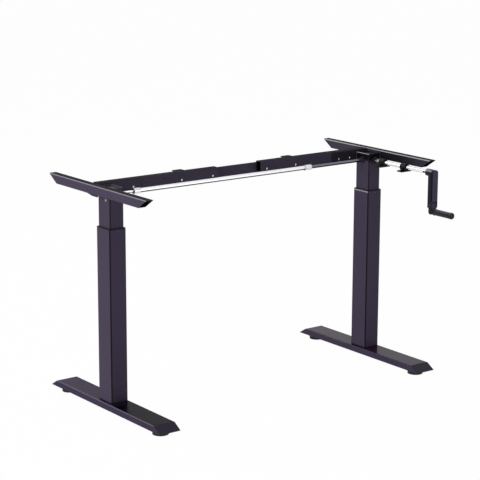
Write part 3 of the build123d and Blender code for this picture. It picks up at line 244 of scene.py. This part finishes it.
finishes = {
    "leftColumnCoat": columnCoat,
    # the right outer column: a painted highlight along the left face of its top rim
    "rightColumnCoat": dict(columnCoat, rimTop=columnTop, rimDepth=0.005, rimHighlight=(0.42, 0.40, 0.44)),
    # the left inner column: painted light inside its bore
    "leftInnerCoat": dict(columnCoat, bore=dict(X=-columnX, Y=0), boreShading=(0.095, 0.083, 0.100)),
    # the right inner column: painted shade inside its bore and over its head, and a painted highlight along its
    # rim
    "rightInnerCoat": dict(
        columnCoat, bore=dict(X=columnX, Y=0), tones=(*columnCoat["tones"], headShade),
        rimTop=headTop, rimDepth=0.003, rimHighlight=(0.45, 0.44, 0.45)),
    # the left foot: its top toned apart from the right foot's as painted light, a painted shade darkening the
    # front of the top, and painted highlights along its folds and edges
    "leftFootCoat": dict(
        footCoat, tones=(
            dict(axes="Z", span=topSpan, share=1, colour=(0.040, 0.028, 0.056)),
            dict(axes="Z", span=topSpan, share=1, colour=(0.002, 0.001, 0.004), places=(("Y", 0.03, -0.08),)),
            footFoldHighlight, footEnd),
        edgeRadius=0.0025, edgeWearAndLightShare=0.6, edgeWearAndLightColour=(0.15, 0.135, 0.175)),
    # the right foot: a darker top tone than the left foot's, as painted shade
    "rightFootCoat": dict(
        footCoat, specular=0.058, roughLow=0.18, roughHigh=0.24,
        tones=(dict(axes="Z", span=topSpan, share=1, colour=(0.022, 0.008, 0.026)), footEnd)),
    # the left bracket: lighter than the right one as painted light, with painted shade inside the channel and on
    # the top, and a painted highlight along the top fold
    "leftBracketCoat": dict(
        mattCoat, dark=(0.068, 0.055, 0.092), light=(0.077, 0.063, 0.103), bore=dict(X=-bracketX),
        boreShading=(0.004, 0.004, 0.005),
        tones=(topShadeTone, dict(axes="XZ", span=foldSpan, share=0.9, colour=(0.30, 0.28, 0.33),
                             places=(bracketFold,)))),
    # the right bracket: darker than the left one as painted shade, more painted shade on the left faces of its
    # front half, darkest further forward, painted shade inside and on the top, and a painted highlight along the
    # top fold
    "rightBracketCoat": dict(
        mattCoat, dark=(0.050, 0.043, 0.064), light=(0.056, 0.049, 0.072), bore=dict(X=bracketX),
        boreShading=(0.004, 0.004, 0.005),
        tones=(dict(axes="X", span=sideSpan, share=0.5, colour=(0.014, 0.010, 0.020), places=(bracketFront,)),
               dict(axes="X", span=sideSpan, share=0.75, colour=(0.003, 0.002, 0.004),
                    places=(bracketFront, ("Y", -0.24, -0.14))),
               topShadeTone, dict(axes="XZ", span=(0.06, 0.3), share=1, colour=(0.42, 0.41, 0.43),
                             places=(bracketFold,)))),
    "beamCoat": beamCoat,
    # the rails: painted shade on their inner faces
    "railCoat": dict(
        beamCoat, bore=dict(Y=middleOf("left_beam_rail", 1), Z=middleOf("left_beam_rail", 2)),
        boreShading=(0.003, 0.003, 0.004)),
    # the right arm: darker than the left arm's coat as painted shade, with painted shade on its top
    "rightArmCoat": dict(mattCoat, dark=(0.020, 0.016, 0.027), light=(0.025, 0.020, 0.033), tones=(topShadeTone,)),
    # the gear covers: painted light makes the left half lighter
    "coverPaint": dict(
        mattCoat, dark=(0.044, 0.038, 0.047), light=(0.054, 0.047, 0.057),
        tones=(dict(axes="", span=allOver, share=1, colour=(0.130, 0.115, 0.137), places=(leftHalf,)),)),
    "bushPlastic": dict(mouldedBlack, dark=(0.003, 0.003, 0.004), light=(0.006, 0.005, 0.007), specular=0.1),
    "fittingPlastic": mouldedBlack,
    # the crank: painted shade on the arm's left flank and a painted shade line beside its front edge, and a
    # painted highlight on the hub's upper left
    "crankPlastic": dict(
        mouldedBlack, dark=(0.062, 0.053, 0.092), light=(0.070, 0.060, 0.102), cloudScale=16, specular=0.08,
        roughLow=0.28, roughHigh=0.38, edgeRadius=0.0008,
        tones=(dict(axes="X", span=(0.4, 0.8), share=1, colour=(0.015, 0.012, 0.023)),
               dict(axes="X", span=(0.05, 0.2), share=0.9, colour=(0.003, 0.002, 0.005),
                    places=(("Y", armFront + 0.009, armFront + 0.006), ("Z", armLow + 0.02, armLow + 0.03))),
               dict(axes="XZ", span=(0.30, 0.44), share=0.45, colour=(0.55, 0.54, 0.57),
                    places=(("Z", shaftZ + 0.001, shaftZ + 0.004),
                            ("Y", hubBack - 0.036, hubBack - 0.030))))),
    # the grip: a painted highlight along its top
    "gripPlastic": dict(
        mouldedBlack, dark=(0.007, 0.005, 0.014), light=(0.011, 0.008, 0.020), cloudScale=16,
        roughLow=0.28, roughHigh=0.38, edgeRadius=0.0008, specular=0.2,
        tones=(dict(axes="Z", span=(0.75, 0.95), share=0.9, colour=(0.20, 0.19, 0.23),
                    places=(("Z", gripZ, gripZ + 0.004),)),)),
    "glidePlastic": dict(
        mouldedBlack, dark=(0.008, 0.007, 0.009), light=(0.015, 0.014, 0.016), cloudScale=30,
        grainStrength=0.3, roughLow=0.55, roughHigh=0.7),
    "brightZinc": brightZinc,
    # the collars: painted shade on their end faces and edges
    "collarZinc": dict(
        brightZinc, dark=(0.60, 0.60, 0.64), light=(0.78, 0.78, 0.81), edgeRadius=0.003, edgeWearAndLightShare=0.7,
        edgeWearAndLightColour=(0.22, 0.22, 0.24),
        tones=(dict(axes="X", span=sideSpan, share=1, colour=(0.12, 0.12, 0.13)),)),
    # the drive tube: a painted shade line along its side that looks away from the light
    "tubeZinc": dict(
        brightZinc, dark=(0.78, 0.77, 0.82), light=(0.90, 0.89, 0.93), stretch=(0.08, 1, 1),
        shadedSide=shaftShadedSide, shadedAxis=shaftZ, shadeLineStart=0.0054, shadeLineFull=0.0063, shadeLineShare=0.97,
        shadeLineColour=(0.03, 0.03, 0.04)),
    # the drive stub: a painted shade line along its side that looks away from the light
    "stubZinc": dict(
        brightZinc, shadedSide=shaftShadedSide, shadedAxis=shaftZ, shadeLineStart=0.0020, shadeLineFull=0.0028, shadeLineShare=0.95,
        shadeLineColour=(0.03, 0.03, 0.035)),
    # the beam bolts: dark heads with a painted highlight where they face the front
    "boltZinc": dict(
        brightZinc, dark=(0.05, 0.05, 0.055), light=(0.07, 0.07, 0.075), edgeWearAndLightColour=(0.06, 0.06, 0.07),
        tones=(dict(axes="Y", span=(0.84, 0.93), share=1, colour=(0.92, 0.92, 0.94)),)),
    "blackSteel": blackSteel,
    # the case screws: a painted highlight on the left front one
    "caseSteel": dict(
        blackSteel, tones=(dict(axes="", span=allOver, share=1, colour=(0.45, 0.45, 0.46),
                                places=(("Y", 0.004, -0.004), leftHalf)),)),
    # the hexagon rod: a painted shade line on its lower flat
    "rodSteel": dict(
        dark=(0.15, 0.145, 0.18), light=(0.21, 0.20, 0.24), cloudScale=24, grainScale=1500,
        stretch=(0.05, 1, 1), grainStrength=0.08, grainDepth=0.0002, roughLow=0.24, roughHigh=0.34, metal=1,
        specular=0.5, edgeRadius=0.0005, edgeWearAndLightShare=0.4, edgeWearAndLightColour=(0.4, 0.4, 0.42), shadedSide=(-0.866, -0.5),
        shadedAxis=shaftZ, shadeLineStart=0.0052, shadeLineFull=0.0056, shadeLineShare=0.95, shadeLineColour=(0.012, 0.012, 0.014)),
    "oiledSteel": dict(
        dark=(0.36, 0.35, 0.34), light=(0.52, 0.51, 0.50), cloudScale=18, grainScale=1100,
        grainStrength=0.12, grainDepth=0.0002, roughLow=0.28, roughHigh=0.42, metal=1, specular=0.5,
        edgeRadius=0.0005, edgeWearAndLightShare=0.4, edgeWearAndLightColour=(0.7, 0.7, 0.7)),
    "castAlloy": dict(
        dark=(0.20, 0.20, 0.21), light=(0.30, 0.30, 0.31), cloudScale=40, grainScale=700,
        grainStrength=0.35, grainDepth=0.0005, roughLow=0.5, roughHigh=0.65, metal=1, specular=0.5,
        edgeRadius=0.0006, edgeWearAndLightShare=0.3, edgeWearAndLightColour=(0.6, 0.6, 0.61)),
    "nutBronze": dict(
        dark=(0.48, 0.32, 0.14), light=(0.62, 0.44, 0.21), cloudScale=30, grainScale=1200,
        grainStrength=0.1, grainDepth=0.0002, roughLow=0.25, roughHigh=0.38, metal=1, specular=0.5,
        edgeRadius=0.0005, edgeWearAndLightShare=0.4, edgeWearAndLightColour=(0.75, 0.58, 0.3)),
}
made = {name: makeFinish(name, look) for name, look in finishes.items()}

finishOfSlot = {
    "black_powder_coat": "beamCoat",
    "bare_steel": "oiledSteel",
    "gear_steel": "oiledSteel",
    "zinc_plate": "brightZinc",
    "black_steel": "blackSteel",
    "black_plastic": "fittingPlastic",
    "case_alloy": "castAlloy",
    "nut_bronze": "nutBronze",
}
finishOfNode = {
    "crank_arm": "crankPlastic", "grip_elbow": "crankPlastic", "grip_sleeve": "gripPlastic",
    "column_bushes": "bushPlastic", "snap_pin": "bushPlastic", "gear_covers": "coverPaint",
    "front_rod_hanger": "bushPlastic", "rear_rod_hanger": "bushPlastic", "right_beam_arm": "rightArmCoat",
    "drive_tube": "tubeZinc", "hexagon_rod": "rodSteel", "crank_pinion": "brightZinc",
    "left_drive_pinion": "stubZinc", "right_drive_pinion": "blackSteel",
}
for side in ("left", "right"):
    finishOfNode[side + "_outer_column"] = side + "ColumnCoat"
    finishOfNode[side + "_inner_column"] = side + "InnerCoat"
    finishOfNode[side + "_foot"] = side + "FootCoat"
    finishOfNode[side + "_side_bracket"] = side + "BracketCoat"
    finishOfNode[side + "_drive_collar"] = "collarZinc"
    finishOfNode[side + "_beam_rail"] = "railCoat"
    finishOfNode[side + "_front_glide"] = "glidePlastic"
    finishOfNode[side + "_rear_glide"] = "glidePlastic"
for part in frame["record"]["subparts"]:
    mesh = nodes[part["node"]].data
    mesh.materials.clear()
    mesh.materials.append(made[finishOfNode.get(part["node"], finishOfSlot[part["material_slot"]])])
print("finishes set:", len(made))


# a new Geometry Nodes tree with named inputs; sizes is {name: metres}
def startTree(name, sizes):
    tree = bpy.data.node_groups.new(name, "GeometryNodeTree")
    tree.interface.new_socket("Geometry", in_out="INPUT", socket_type="NodeSocketGeometry")
    for size in sizes:
        tree.interface.new_socket(size, in_out="INPUT", socket_type="NodeSocketFloat")
    tree.interface.new_socket("Finish", in_out="INPUT", socket_type="NodeSocketMaterial")
    tree.interface.new_socket("Geometry", in_out="OUTPUT", socket_type="NodeSocketGeometry")
    return tree, tree.nodes.new("NodeGroupInput").outputs


smoothLimit = math.radians(35)  # edges bent less than this are shaded smooth


# last nodes of every tree: real mesh, smooth but for sharp edges, one finish
def endTree(tree, pieces, finish):
    joined = tree.nodes.new("GeometryNodeJoinGeometry")
    for piece in pieces:
        tree.links.new(piece, joined.inputs[0])
    real = addNode(tree, "GeometryNodeRealizeInstances", i0=joined.outputs[0])
    angle = tree.nodes.new("GeometryNodeInputMeshEdgeAngle")
    soft = addNode(tree, "FunctionNodeCompare", i0=angle.outputs[0], i1=smoothLimit)
    soft.operation = "LESS_THAN"
    smooth = addNode(tree, "GeometryNodeSetShadeSmooth", i0=real.outputs[0], i2=soft.outputs[0])
    smooth.domain = "EDGE"
    coated = addNode(tree, "GeometryNodeSetMaterial", i0=smooth.outputs[0], Material=finish)
    tree.links.new(coated.outputs[0], tree.nodes.new("NodeGroupOutput").inputs[0])


# runs a tree on a start mesh and keeps the plain result, riding a body
def growPiece(name, tree, start, sizes, finish, body, slot, *replaced):
    base = bpy.data.objects.new(name + "Start", start)
    scene.collection.objects.link(base)
    grow = base.modifiers.new("grow", "NODES")
    grow.node_group = tree
    wanted = dict(sizes, Finish=made[finish])
    for item in tree.interface.items_tree:
        if item.in_out == "INPUT" and item.name in wanted:
            grow[item.identifier] = wanted[item.name]
    ready = base.evaluated_get(bpy.context.evaluated_depsgraph_get())
    mesh = bpy.data.meshes.new_from_object(ready)
    mesh.name = name
    base.modifiers.remove(grow)
    bpy.data.objects.remove(base)
    piece = bpy.data.objects.new(name, mesh)
    scene.collection.objects.link(piece)
    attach(piece, body)
    if replaced:
        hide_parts(*replaced)
    print(name, len(mesh.polygons), "faces")


# points for the fasteners: each has the way its head looks and the length of its shank
def pointMesh(name, places, aims, shanks):
    mesh = bpy.data.meshes.new(name)
    mesh.from_pydata(places, [], [])
    aim = mesh.attributes.new("aim", "FLOAT_VECTOR", "POINT")
    aim.data.foreach_set("vector", [level for way in aims for level in way])
    shank = mesh.attributes.new("shank", "FLOAT", "POINT")
    shank.data.foreach_set("value", shanks)
    return mesh


# turn of each fastener, its own Z along aim
def addAim(tree):
    aim = addNode(tree, "GeometryNodeInputNamedAttribute", Name="aim")
    aim.data_type = "FLOAT_VECTOR"
    turn = addNode(tree, "FunctionNodeAlignRotationToVector", Vector=aim.outputs[0])
    turn.axis = "Z"
    return turn.outputs[0]


def addCylinder(tree, sides, radius, depth, lift, across=0.0):
    body = addNode(tree, "GeometryNodeMeshCylinder", Vertices=sides, Radius=radius, Depth=depth)
    offset = addNode(tree, "ShaderNodeCombineXYZ", X=across, Z=lift)
    placed = addNode(tree, "GeometryNodeTransform", Geometry=body.outputs[0], Translation=offset.outputs[0])
    return placed.outputs[0]


def addEgg(tree, radius, height, lift):
    ball = addNode(tree, "GeometryNodeMeshUVSphere", Segments=32, Rings=16, Radius=1.0)
    shape = addNode(tree, "ShaderNodeCombineXYZ", X=radius, Y=radius, Z=height)
    offset = addNode(tree, "ShaderNodeCombineXYZ", Z=lift)
    egg = addNode(tree, "GeometryNodeTransform", Geometry=ball.outputs[0], Translation=offset.outputs[0],
                  Scale=shape.outputs[0])
    return egg.outputs[0]


# a solid cut by another, or what two solids share
def addCut(tree, operation, first, second):
    cut = tree.nodes.new("GeometryNodeMeshBoolean")
    cut.operation = operation
    cut.solver = "EXACT"
    tree.links.new(first, cut.inputs[0 if operation == "DIFFERENCE" else 1])
    tree.links.new(second, cut.inputs[1])
    return cut.outputs[0]


# round head with a hexagon socket, its seat at the point, and a shank behind it
screwSizes = {"Head radius": 0.0055, "Head height": 0.0035, "Socket radius": 0.002, "Socket depth": 0.002,
              "Shank radius": 0.003}
# the head is a dome cut round by a skirt, both given as shares of the head's radius and height
screwShape = dict(headSides=32, skirtHeight=3.0, skirtLift=1.5, domeRadius=1.03, domeHeight=0.75,
                  domeLift=0.25, shankSides=24)
screwTree, ins = startTree("roundScrews", screwSizes)
skirt = addCylinder(screwTree, screwShape["headSides"], ins["Head radius"],
                    addTimes(screwTree, ins["Head height"], screwShape["skirtHeight"]),
                    addTimes(screwTree, ins["Head height"], screwShape["skirtLift"]))
dome = addEgg(screwTree, addTimes(screwTree, ins["Head radius"], screwShape["domeRadius"]),
              addTimes(screwTree, ins["Head height"], screwShape["domeHeight"]),
              addTimes(screwTree, ins["Head height"], screwShape["domeLift"]))
socket = addCylinder(screwTree, 6, ins["Socket radius"], addTimes(screwTree, ins["Socket depth"], 2.0),
                     ins["Head height"])
head = addCut(screwTree, "DIFFERENCE", addCut(screwTree, "INTERSECT", dome, skirt), socket)
turn = addAim(screwTree)
heads = addNode(screwTree, "GeometryNodeInstanceOnPoints", Points=ins["Geometry"], Instance=head,
                Rotation=turn)
# 1 m long, scaled to the length of each shank
rod = addCylinder(screwTree, screwShape["shankSides"], ins["Shank radius"], 1.0, -0.5)
length = addNode(screwTree, "GeometryNodeInputNamedAttribute", Name="shank")
length.data_type = "FLOAT"
stretch = addNode(screwTree, "ShaderNodeCombineXYZ", X=1.0, Y=1.0, Z=length.outputs[0])
shanks = addNode(screwTree, "GeometryNodeInstanceOnPoints", Points=ins["Geometry"], Instance=rod,
                 Rotation=turn, Scale=stretch.outputs[0])
endTree(screwTree, [heads.outputs[0], shanks.outputs[0]], ins["Finish"])

# hexagon nut with rounded corners and a bore
nutSizes = {"Corner radius": 0.00577, "Nut height": 0.005, "Bore radius": 0.0031}
# an egg round the nut takes off its corners, given as shares of the nut's radius and height
nutShape = dict(eggRadius=1.1, eggHeight=0.87, boreSides=24, boreHeight=3.0)
nutTree, ins = startTree("hexNuts", nutSizes)
nutMiddle = addTimes(nutTree, ins["Nut height"], 0.5)
hexagon = addCylinder(nutTree, 6, ins["Corner radius"], ins["Nut height"], nutMiddle)
chamfer = addEgg(nutTree, addTimes(nutTree, ins["Corner radius"], nutShape["eggRadius"]),
                 addTimes(nutTree, ins["Nut height"], nutShape["eggHeight"]), nutMiddle)
bore = addCylinder(nutTree, nutShape["boreSides"], ins["Bore radius"],
                   addTimes(nutTree, ins["Nut height"], nutShape["boreHeight"]), 0.0)
nut = addCut(nutTree, "DIFFERENCE", addCut(nutTree, "INTERSECT", hexagon, chamfer), bore)
nuts = addNode(nutTree, "GeometryNodeInstanceOnPoints", Points=ins["Geometry"], Instance=nut,
               Rotation=addAim(nutTree))
endTree(nutTree, [nuts.outputs[0]], ins["Finish"])

# bolts along the rear beam: the outer pairs hold the arms, the inner pairs the centre rail
beamBolts = dict(z=middleOf("beam_bolts", 2), armX=(columnX - 0.061, columnX - 0.114), railX=(0.1205, 0.254),
                 armSeat=0.0365, railSeat=0.0395, armBack=0.0695, railBack=0.072,
                 nutHeight=nutSizes["Nut height"])
beamBoltSizes = dict(screwSizes, **{"Head radius": 0.0045})
places, shanks, nutPlaces = [], [], []
for side in (-1, 1):
    for kind in ("arm", "rail"):
        for x in beamBolts[kind + "X"]:
            places.append((side * x, beamBolts[kind + "Seat"], beamBolts["z"]))
            shanks.append(beamBolts[kind + "Back"] + beamBolts["nutHeight"] - beamBolts[kind + "Seat"])
            nutPlaces.append((side * x, beamBolts[kind + "Back"], beamBolts["z"]))
start = pointMesh("beamBoltPoints", places, [(0, -1, 0)] * len(places), shanks)
growPiece("beamBoltSet", screwTree, start, beamBoltSizes, "boltZinc", "upper_frame", "zinc_plate",
          "beam_bolts")
start = pointMesh("beamNutPoints", nutPlaces, [(0, 1, 0)] * len(places), shanks)
growPiece("beamNutSet", nutTree, start, nutSizes, "brightZinc", "upper_frame", "zinc_plate", "beam_nuts")

# bolts inside the side brackets
bracketBolts = dict(z=middleOf("bracket_bolts", 2), y=(-0.020, 0.020, 0.085), seat=columnX + 0.033,
                    shank=0.0055)
places = [(side * bracketBolts["seat"], y, bracketBolts["z"]) for side in (-1, 1) for y in bracketBolts["y"]]
aims = [(math.copysign(1, place[0]), 0, 0) for place in places]
start = pointMesh("bracketBoltPoints", places, aims, [bracketBolts["shank"]] * len(places))
growPiece("bracketBoltSet", screwTree, start, screwSizes, "blackSteel", "upper_frame", "black_steel",
          "bracket_bolts")

# screws of the column bushes, one in each face
bushScrews = dict(z=middleOf("column_bush_screws", 2), halfWidth=0.033, halfDepth=0.0415, shankX=0.0052,
                  shankY=0.0047)
bushScrewSizes = {"Head radius": 0.0036, "Head height": 0.0016, "Socket radius": 0.0014,
                  "Socket depth": 0.001, "Shank radius": 0.002}
places, aims, shanks = [], [], []
for x in (-columnX, columnX):
    for step in (-1, 1):
        places += [(x + step * bushScrews["halfWidth"], 0, bushScrews["z"]),
                   (x, step * bushScrews["halfDepth"], bushScrews["z"])]
        aims += [(step, 0, 0), (0, step, 0)]
        shanks += [bushScrews["shankX"], bushScrews["shankY"]]
start = pointMesh("bushScrewPoints", places, aims, shanks)
growPiece("bushScrewSet", screwTree, start, bushScrewSizes, "blackSteel", "base", "black_steel",
          "column_bush_screws")

# screws of the gear cases, on the outer faces of the column heads
caseScrews = dict(y=0.013, z=middleOf("gear_case_screws", 2), face=columnX + 0.0275, shank=0.006)
caseScrewSizes = {"Head radius": 0.0045, "Head height": 0.0025, "Socket radius": 0.0017,
                  "Socket depth": 0.0015, "Shank radius": 0.0025}
places = [(side * caseScrews["face"], step * caseScrews["y"], caseScrews["z"])
          for side in (-1, 1) for step in (-1, 1)]
aims = [(math.copysign(1, place[0]), 0, 0) for place in places]
start = pointMesh("caseScrewPoints", places, aims, [caseScrews["shank"]] * len(places))
growPiece("caseScrewSet", screwTree, start, caseScrewSizes, "caseSteel", "upper_frame", "zinc_plate",
          "gear_case_screws")

# cap screws up through the feet into the columns' base plates
footScrews = dict(pitchWide=0.036, pitchLong=0.052, seat=0.0335, shank=0.0125)
footScrewSizes = {"Head radius": 0.0065, "Head height": 0.008, "Socket radius": 0.0034, "Socket depth": 0.004,
                  "Shank radius": 0.004}
places = [(x + stepX * footScrews["pitchWide"] / 2, stepY * footScrews["pitchLong"] / 2, footScrews["seat"])
          for x in (-columnX, columnX) for stepX in (-1, 1) for stepY in (-1, 1)]
start = pointMesh("footScrewPoints", places, [(0, 0, -1)] * len(places), [footScrews["shank"]] * len(places))
growPiece("footScrewSet", screwTree, start, footScrewSizes, "brightZinc", "base", "zinc_plate", "foot_bolts")
print("fasteners set")


threadShape = dict(starts=3, stepsPerTurn=20, ridgeSides=6, coreSides=32)


# lifting screw: thread starts wound round a core, then a plain shoulder and a journal;
# leftHand turns the winding round
def makeThreadTree(name, sizes, leftHand):
    tree, ins = startTree(name, sizes)
    rise = addMath(tree, "SUBTRACT", ins["Thread top"], ins["Bottom"])
    centre = addMath(tree, "SUBTRACT", ins["Outer radius"], ins["Ridge radius"])
    turns = addMath(tree, "DIVIDE", rise, ins["Lead"])
    helix = addNode(tree, "GeometryNodeCurveSpiral", Resolution=threadShape["stepsPerTurn"], Rotations=turns,
                    Start_Radius=centre, End_Radius=centre, Height=rise, Reverse=leftHand)
    profile = addNode(tree, "GeometryNodeCurvePrimitiveCircle", Resolution=threadShape["ridgeSides"],
                      Radius=ins["Ridge radius"])
    ridge = addNode(tree, "GeometryNodeCurveToMesh", Curve=helix.outputs[0], Profile_Curve=profile.outputs[0],
                    Fill_Caps=True)
    lift = addNode(tree, "ShaderNodeCombineXYZ", X=ins["Across"], Z=ins["Bottom"])
    parts = []
    for first in range(threadShape["starts"]):
        ring = addNode(tree, "GeometryNodeTransform", Geometry=ridge.outputs[0])
        ring.inputs["Rotation"].default_value = (0, 0, first * 2 * math.pi / threadShape["starts"])
        placed = addNode(tree, "GeometryNodeTransform", Geometry=ring.outputs[0], Translation=lift.outputs[0])
        parts.append(placed.outputs[0])
    for radius, low, high in (("Core radius", "Bottom", "Thread top"),
                              ("Outer radius", "Thread top", "Shoulder"),
                              ("Journal radius", "Shoulder", "Journal top")):
        depth = addMath(tree, "SUBTRACT", ins[high], ins[low])
        middle = addTimes(tree, addMath(tree, "ADD", ins[high], ins[low]), 0.5)
        parts.append(addCylinder(tree, threadShape["coreSides"], ins[radius], depth, middle, ins["Across"]))
    endTree(tree, parts, ins["Finish"])
    return tree


screwLow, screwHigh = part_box("left_lead_screw")
threadSizes = {"Bottom": screwLow[2] + 0.002, "Thread top": 0.700,
               "Shoulder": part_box("thrust_bearings")[0][2] - 0.0003, "Journal top": screwHigh[2],
               "Core radius": 0.0056, "Ridge radius": 0.0012, "Outer radius": 0.0069, "Journal radius": 0.005,
               "Lead": 0.012, "Across": 0.0}
for side, across in (("left", -columnX), ("right", columnX)):
    tree = makeThreadTree(side + "ThreadTree", threadSizes, side == "right")
    start = bpy.data.meshes.new(side + "ThreadStart")
    growPiece(side + "LiftScrew", tree, start, dict(threadSizes, Across=across), "oiledSteel",
              side + "_spindle", "bare_steel", side + "_lead_screw")

# weld beads: drops of uneven size laid close together along a line
beadSizes = {"Bead spacing": 0.0022, "Bead radius": 0.0021}
beadShape = dict(smallest=0.85, largest=1.1, seed=4, roundness=2)
beadTree, ins = startTree("weldBeads", beadSizes)
line = addNode(beadTree, "GeometryNodeMeshToCurve", Mesh=ins["Geometry"])
evenly = addNode(beadTree, "GeometryNodeResampleCurve", Curve=line.outputs[0])
evenly.mode = "LENGTH"
beadTree.links.new(ins["Bead spacing"], next(way for way in evenly.inputs if way.identifier == "Length"))
drop = addNode(beadTree, "GeometryNodeMeshIcoSphere", Radius=ins["Bead radius"],
               Subdivisions=beadShape["roundness"])
along = addNode(beadTree, "FunctionNodeAlignRotationToVector",
                Vector=beadTree.nodes.new("GeometryNodeInputTangent").outputs[0])
along.axis = "X"
uneven = addNode(beadTree, "FunctionNodeRandomValue", Seed=beadShape["seed"])
uneven.data_type = "FLOAT"
uneven.inputs[2].default_value = beadShape["smallest"]
uneven.inputs[3].default_value = beadShape["largest"]
drops = addNode(beadTree, "GeometryNodeInstanceOnPoints", Points=evenly.outputs[0], Instance=drop.outputs[0],
                Rotation=along.outputs[0], Scale=uneven.outputs[1])
endTree(beadTree, [drops.outputs[0]], ins["Finish"])

# arms to the backs of the column heads, plates to their outer faces, tabs to the backs of the rails
welds = dict(headHalfWidth=0.0275, headHalfDepth=0.0365, sink=0.001, high=headTop - 0.002,
             armLow=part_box("left_beam_arm")[0][2] + 0.002, plateLow=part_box("left_side_bracket")[0][2] + 0.004,
             railBack=0.0695, tabUnder=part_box("table_lugs")[0][2], tabX=0.242, tabHalf=0.018)
lines = []
for side in (-1, 1):
    inner = side * (columnX - welds["headHalfWidth"] + welds["sink"])
    outer = side * (columnX + welds["headHalfWidth"] - welds["sink"])
    back = welds["headHalfDepth"] - welds["sink"]
    lines.append([(inner, back, welds["armLow"]), (inner, back, welds["high"])])
    lines.append([(outer, -back, welds["plateLow"]), (outer, -back, welds["high"])])
    lines.append([(side * welds["tabX"] + step * welds["tabHalf"], welds["railBack"], welds["tabUnder"])
                  for step in (-1, 1)])
start = bpy.data.meshes.new("weldLines")
ends = [end for line in lines for end in line]
start.from_pydata(ends, [(first, first + 1) for first in range(0, len(ends), 2)], [])
growPiece("weldBeadSet", beadTree, start, beadSizes, "beamCoat", "upper_frame", "black_powder_coat")
print("lifting screws and welds set")


# 1 where the camera, a mirror or glass looks, 0 for light on the desk
def addSeen(tree):
    path = tree.nodes.new("ShaderNodeLightPath")
    seen = addMath(tree, "MAXIMUM", path.outputs["Is Camera Ray"], path.outputs["Is Glossy Ray"])
    return addMath(tree, "MAXIMUM", seen, path.outputs["Is Transmission Ray"])


# stage: pale floor and a soft studio, white where the camera or a mirror looks past the desk
stageLook = dict(floorSize=40, floorWhite=0.90, floorRough=0.9, floorGlow=0.98, roomGlow=0.33)
floorMesh = bpy.data.meshes.new("floor")
half = stageLook["floorSize"] / 2
corners = [(-half, -half, 0), (half, -half, 0), (half, half, 0), (-half, half, 0)]
floorMesh.from_pydata(corners, [], [(0, 1, 2, 3)])
floor = bpy.data.objects.new("floor", floorMesh)
scene.collection.objects.link(floor)
floorMaterial = bpy.data.materials.new("paleFloor")
floorMaterial.use_nodes = True
tree = floorMaterial.node_tree
shader = tree.nodes["Principled BSDF"]
shader.inputs["Base Color"].default_value = (*[stageLook["floorWhite"]] * 3, 1)
shader.inputs["Roughness"].default_value = stageLook["floorRough"]
shader.inputs["Specular IOR Level"].default_value = 0.0
glow = addNode(tree, "ShaderNodeEmission", Strength=1.0)
share = addTimes(tree, addSeen(tree), stageLook["floorGlow"])
mix = addNode(tree, "ShaderNodeMixShader", i0=share, i1=shader.outputs[0], i2=glow.outputs[0])
tree.links.new(mix.outputs[0], tree.nodes["Material Output"].inputs["Surface"])
floorMesh.materials.append(floorMaterial)

world = bpy.data.worlds.new("studio")
scene.world = world
world.use_nodes = True
tree = world.node_tree
room = tree.nodes["Background"]
room.inputs["Color"].default_value = (1, 1, 1, 1)
tree.links.new(addSpan(tree, addSeen(tree), 0, 1, stageLook["roomGlow"], 1), room.inputs["Strength"])

lamps = {
    "sideLamp": dict(place=(-4.5, -0.6, 2.4), aim=(0, 0, 0.4), size=3.0, power=95),
    "topLamp": dict(place=(-0.5, 0.5, 4.2), aim=(0, 0, 0.3), size=3.5, power=30),
    "rearLamp": dict(place=(-1.0, 4.2, 3.2), aim=(0, 0, 0.6), size=1.6, power=60),
    "frontLamp": dict(place=(1.8, -3.8, 0.9), aim=(0.3, 0, 0.6), size=2.0, power=12),
}
for name, lamp in lamps.items():
    data = bpy.data.lights.new(name, "AREA")
    data.shape = "DISK"
    data.size = lamp["size"]
    data.energy = lamp["power"]
    light = bpy.data.objects.new(name, data)
    light.location = lamp["place"]
    way = Vector(lamp["aim"]) - Vector(lamp["place"])
    light.rotation_euler = way.to_track_quat("-Z", "Y").to_euler()
    scene.collection.objects.link(light)

# camera at the photograph's place: yaw from +Y towards +X, then down, then a slight tilt
view = dict(place=(-3.58506, -4.73659, 1.89058), yaw=36.905, down=12.902, tilt=0.207, lens=127.50, sensor=36,
            farthest=100)
data = bpy.data.cameras.new("photoCamera")
data.lens = view["lens"]
data.sensor_width = view["sensor"]
data.clip_end = view["farthest"]
camera = bpy.data.objects.new("photoCamera", data)
turn = Matrix.Rotation(math.radians(-view["yaw"]), 4, "Z")
turn @= Matrix.Rotation(math.radians(90 - view["down"]), 4, "X")
turn @= Matrix.Rotation(math.radians(view["tilt"]), 4, "Z")
camera.matrix_world = Matrix.Translation(view["place"]) @ turn
scene.collection.objects.link(camera)
scene.camera = camera
scene.view_settings.view_transform = "Standard"
print("stage, lamps and camera set")
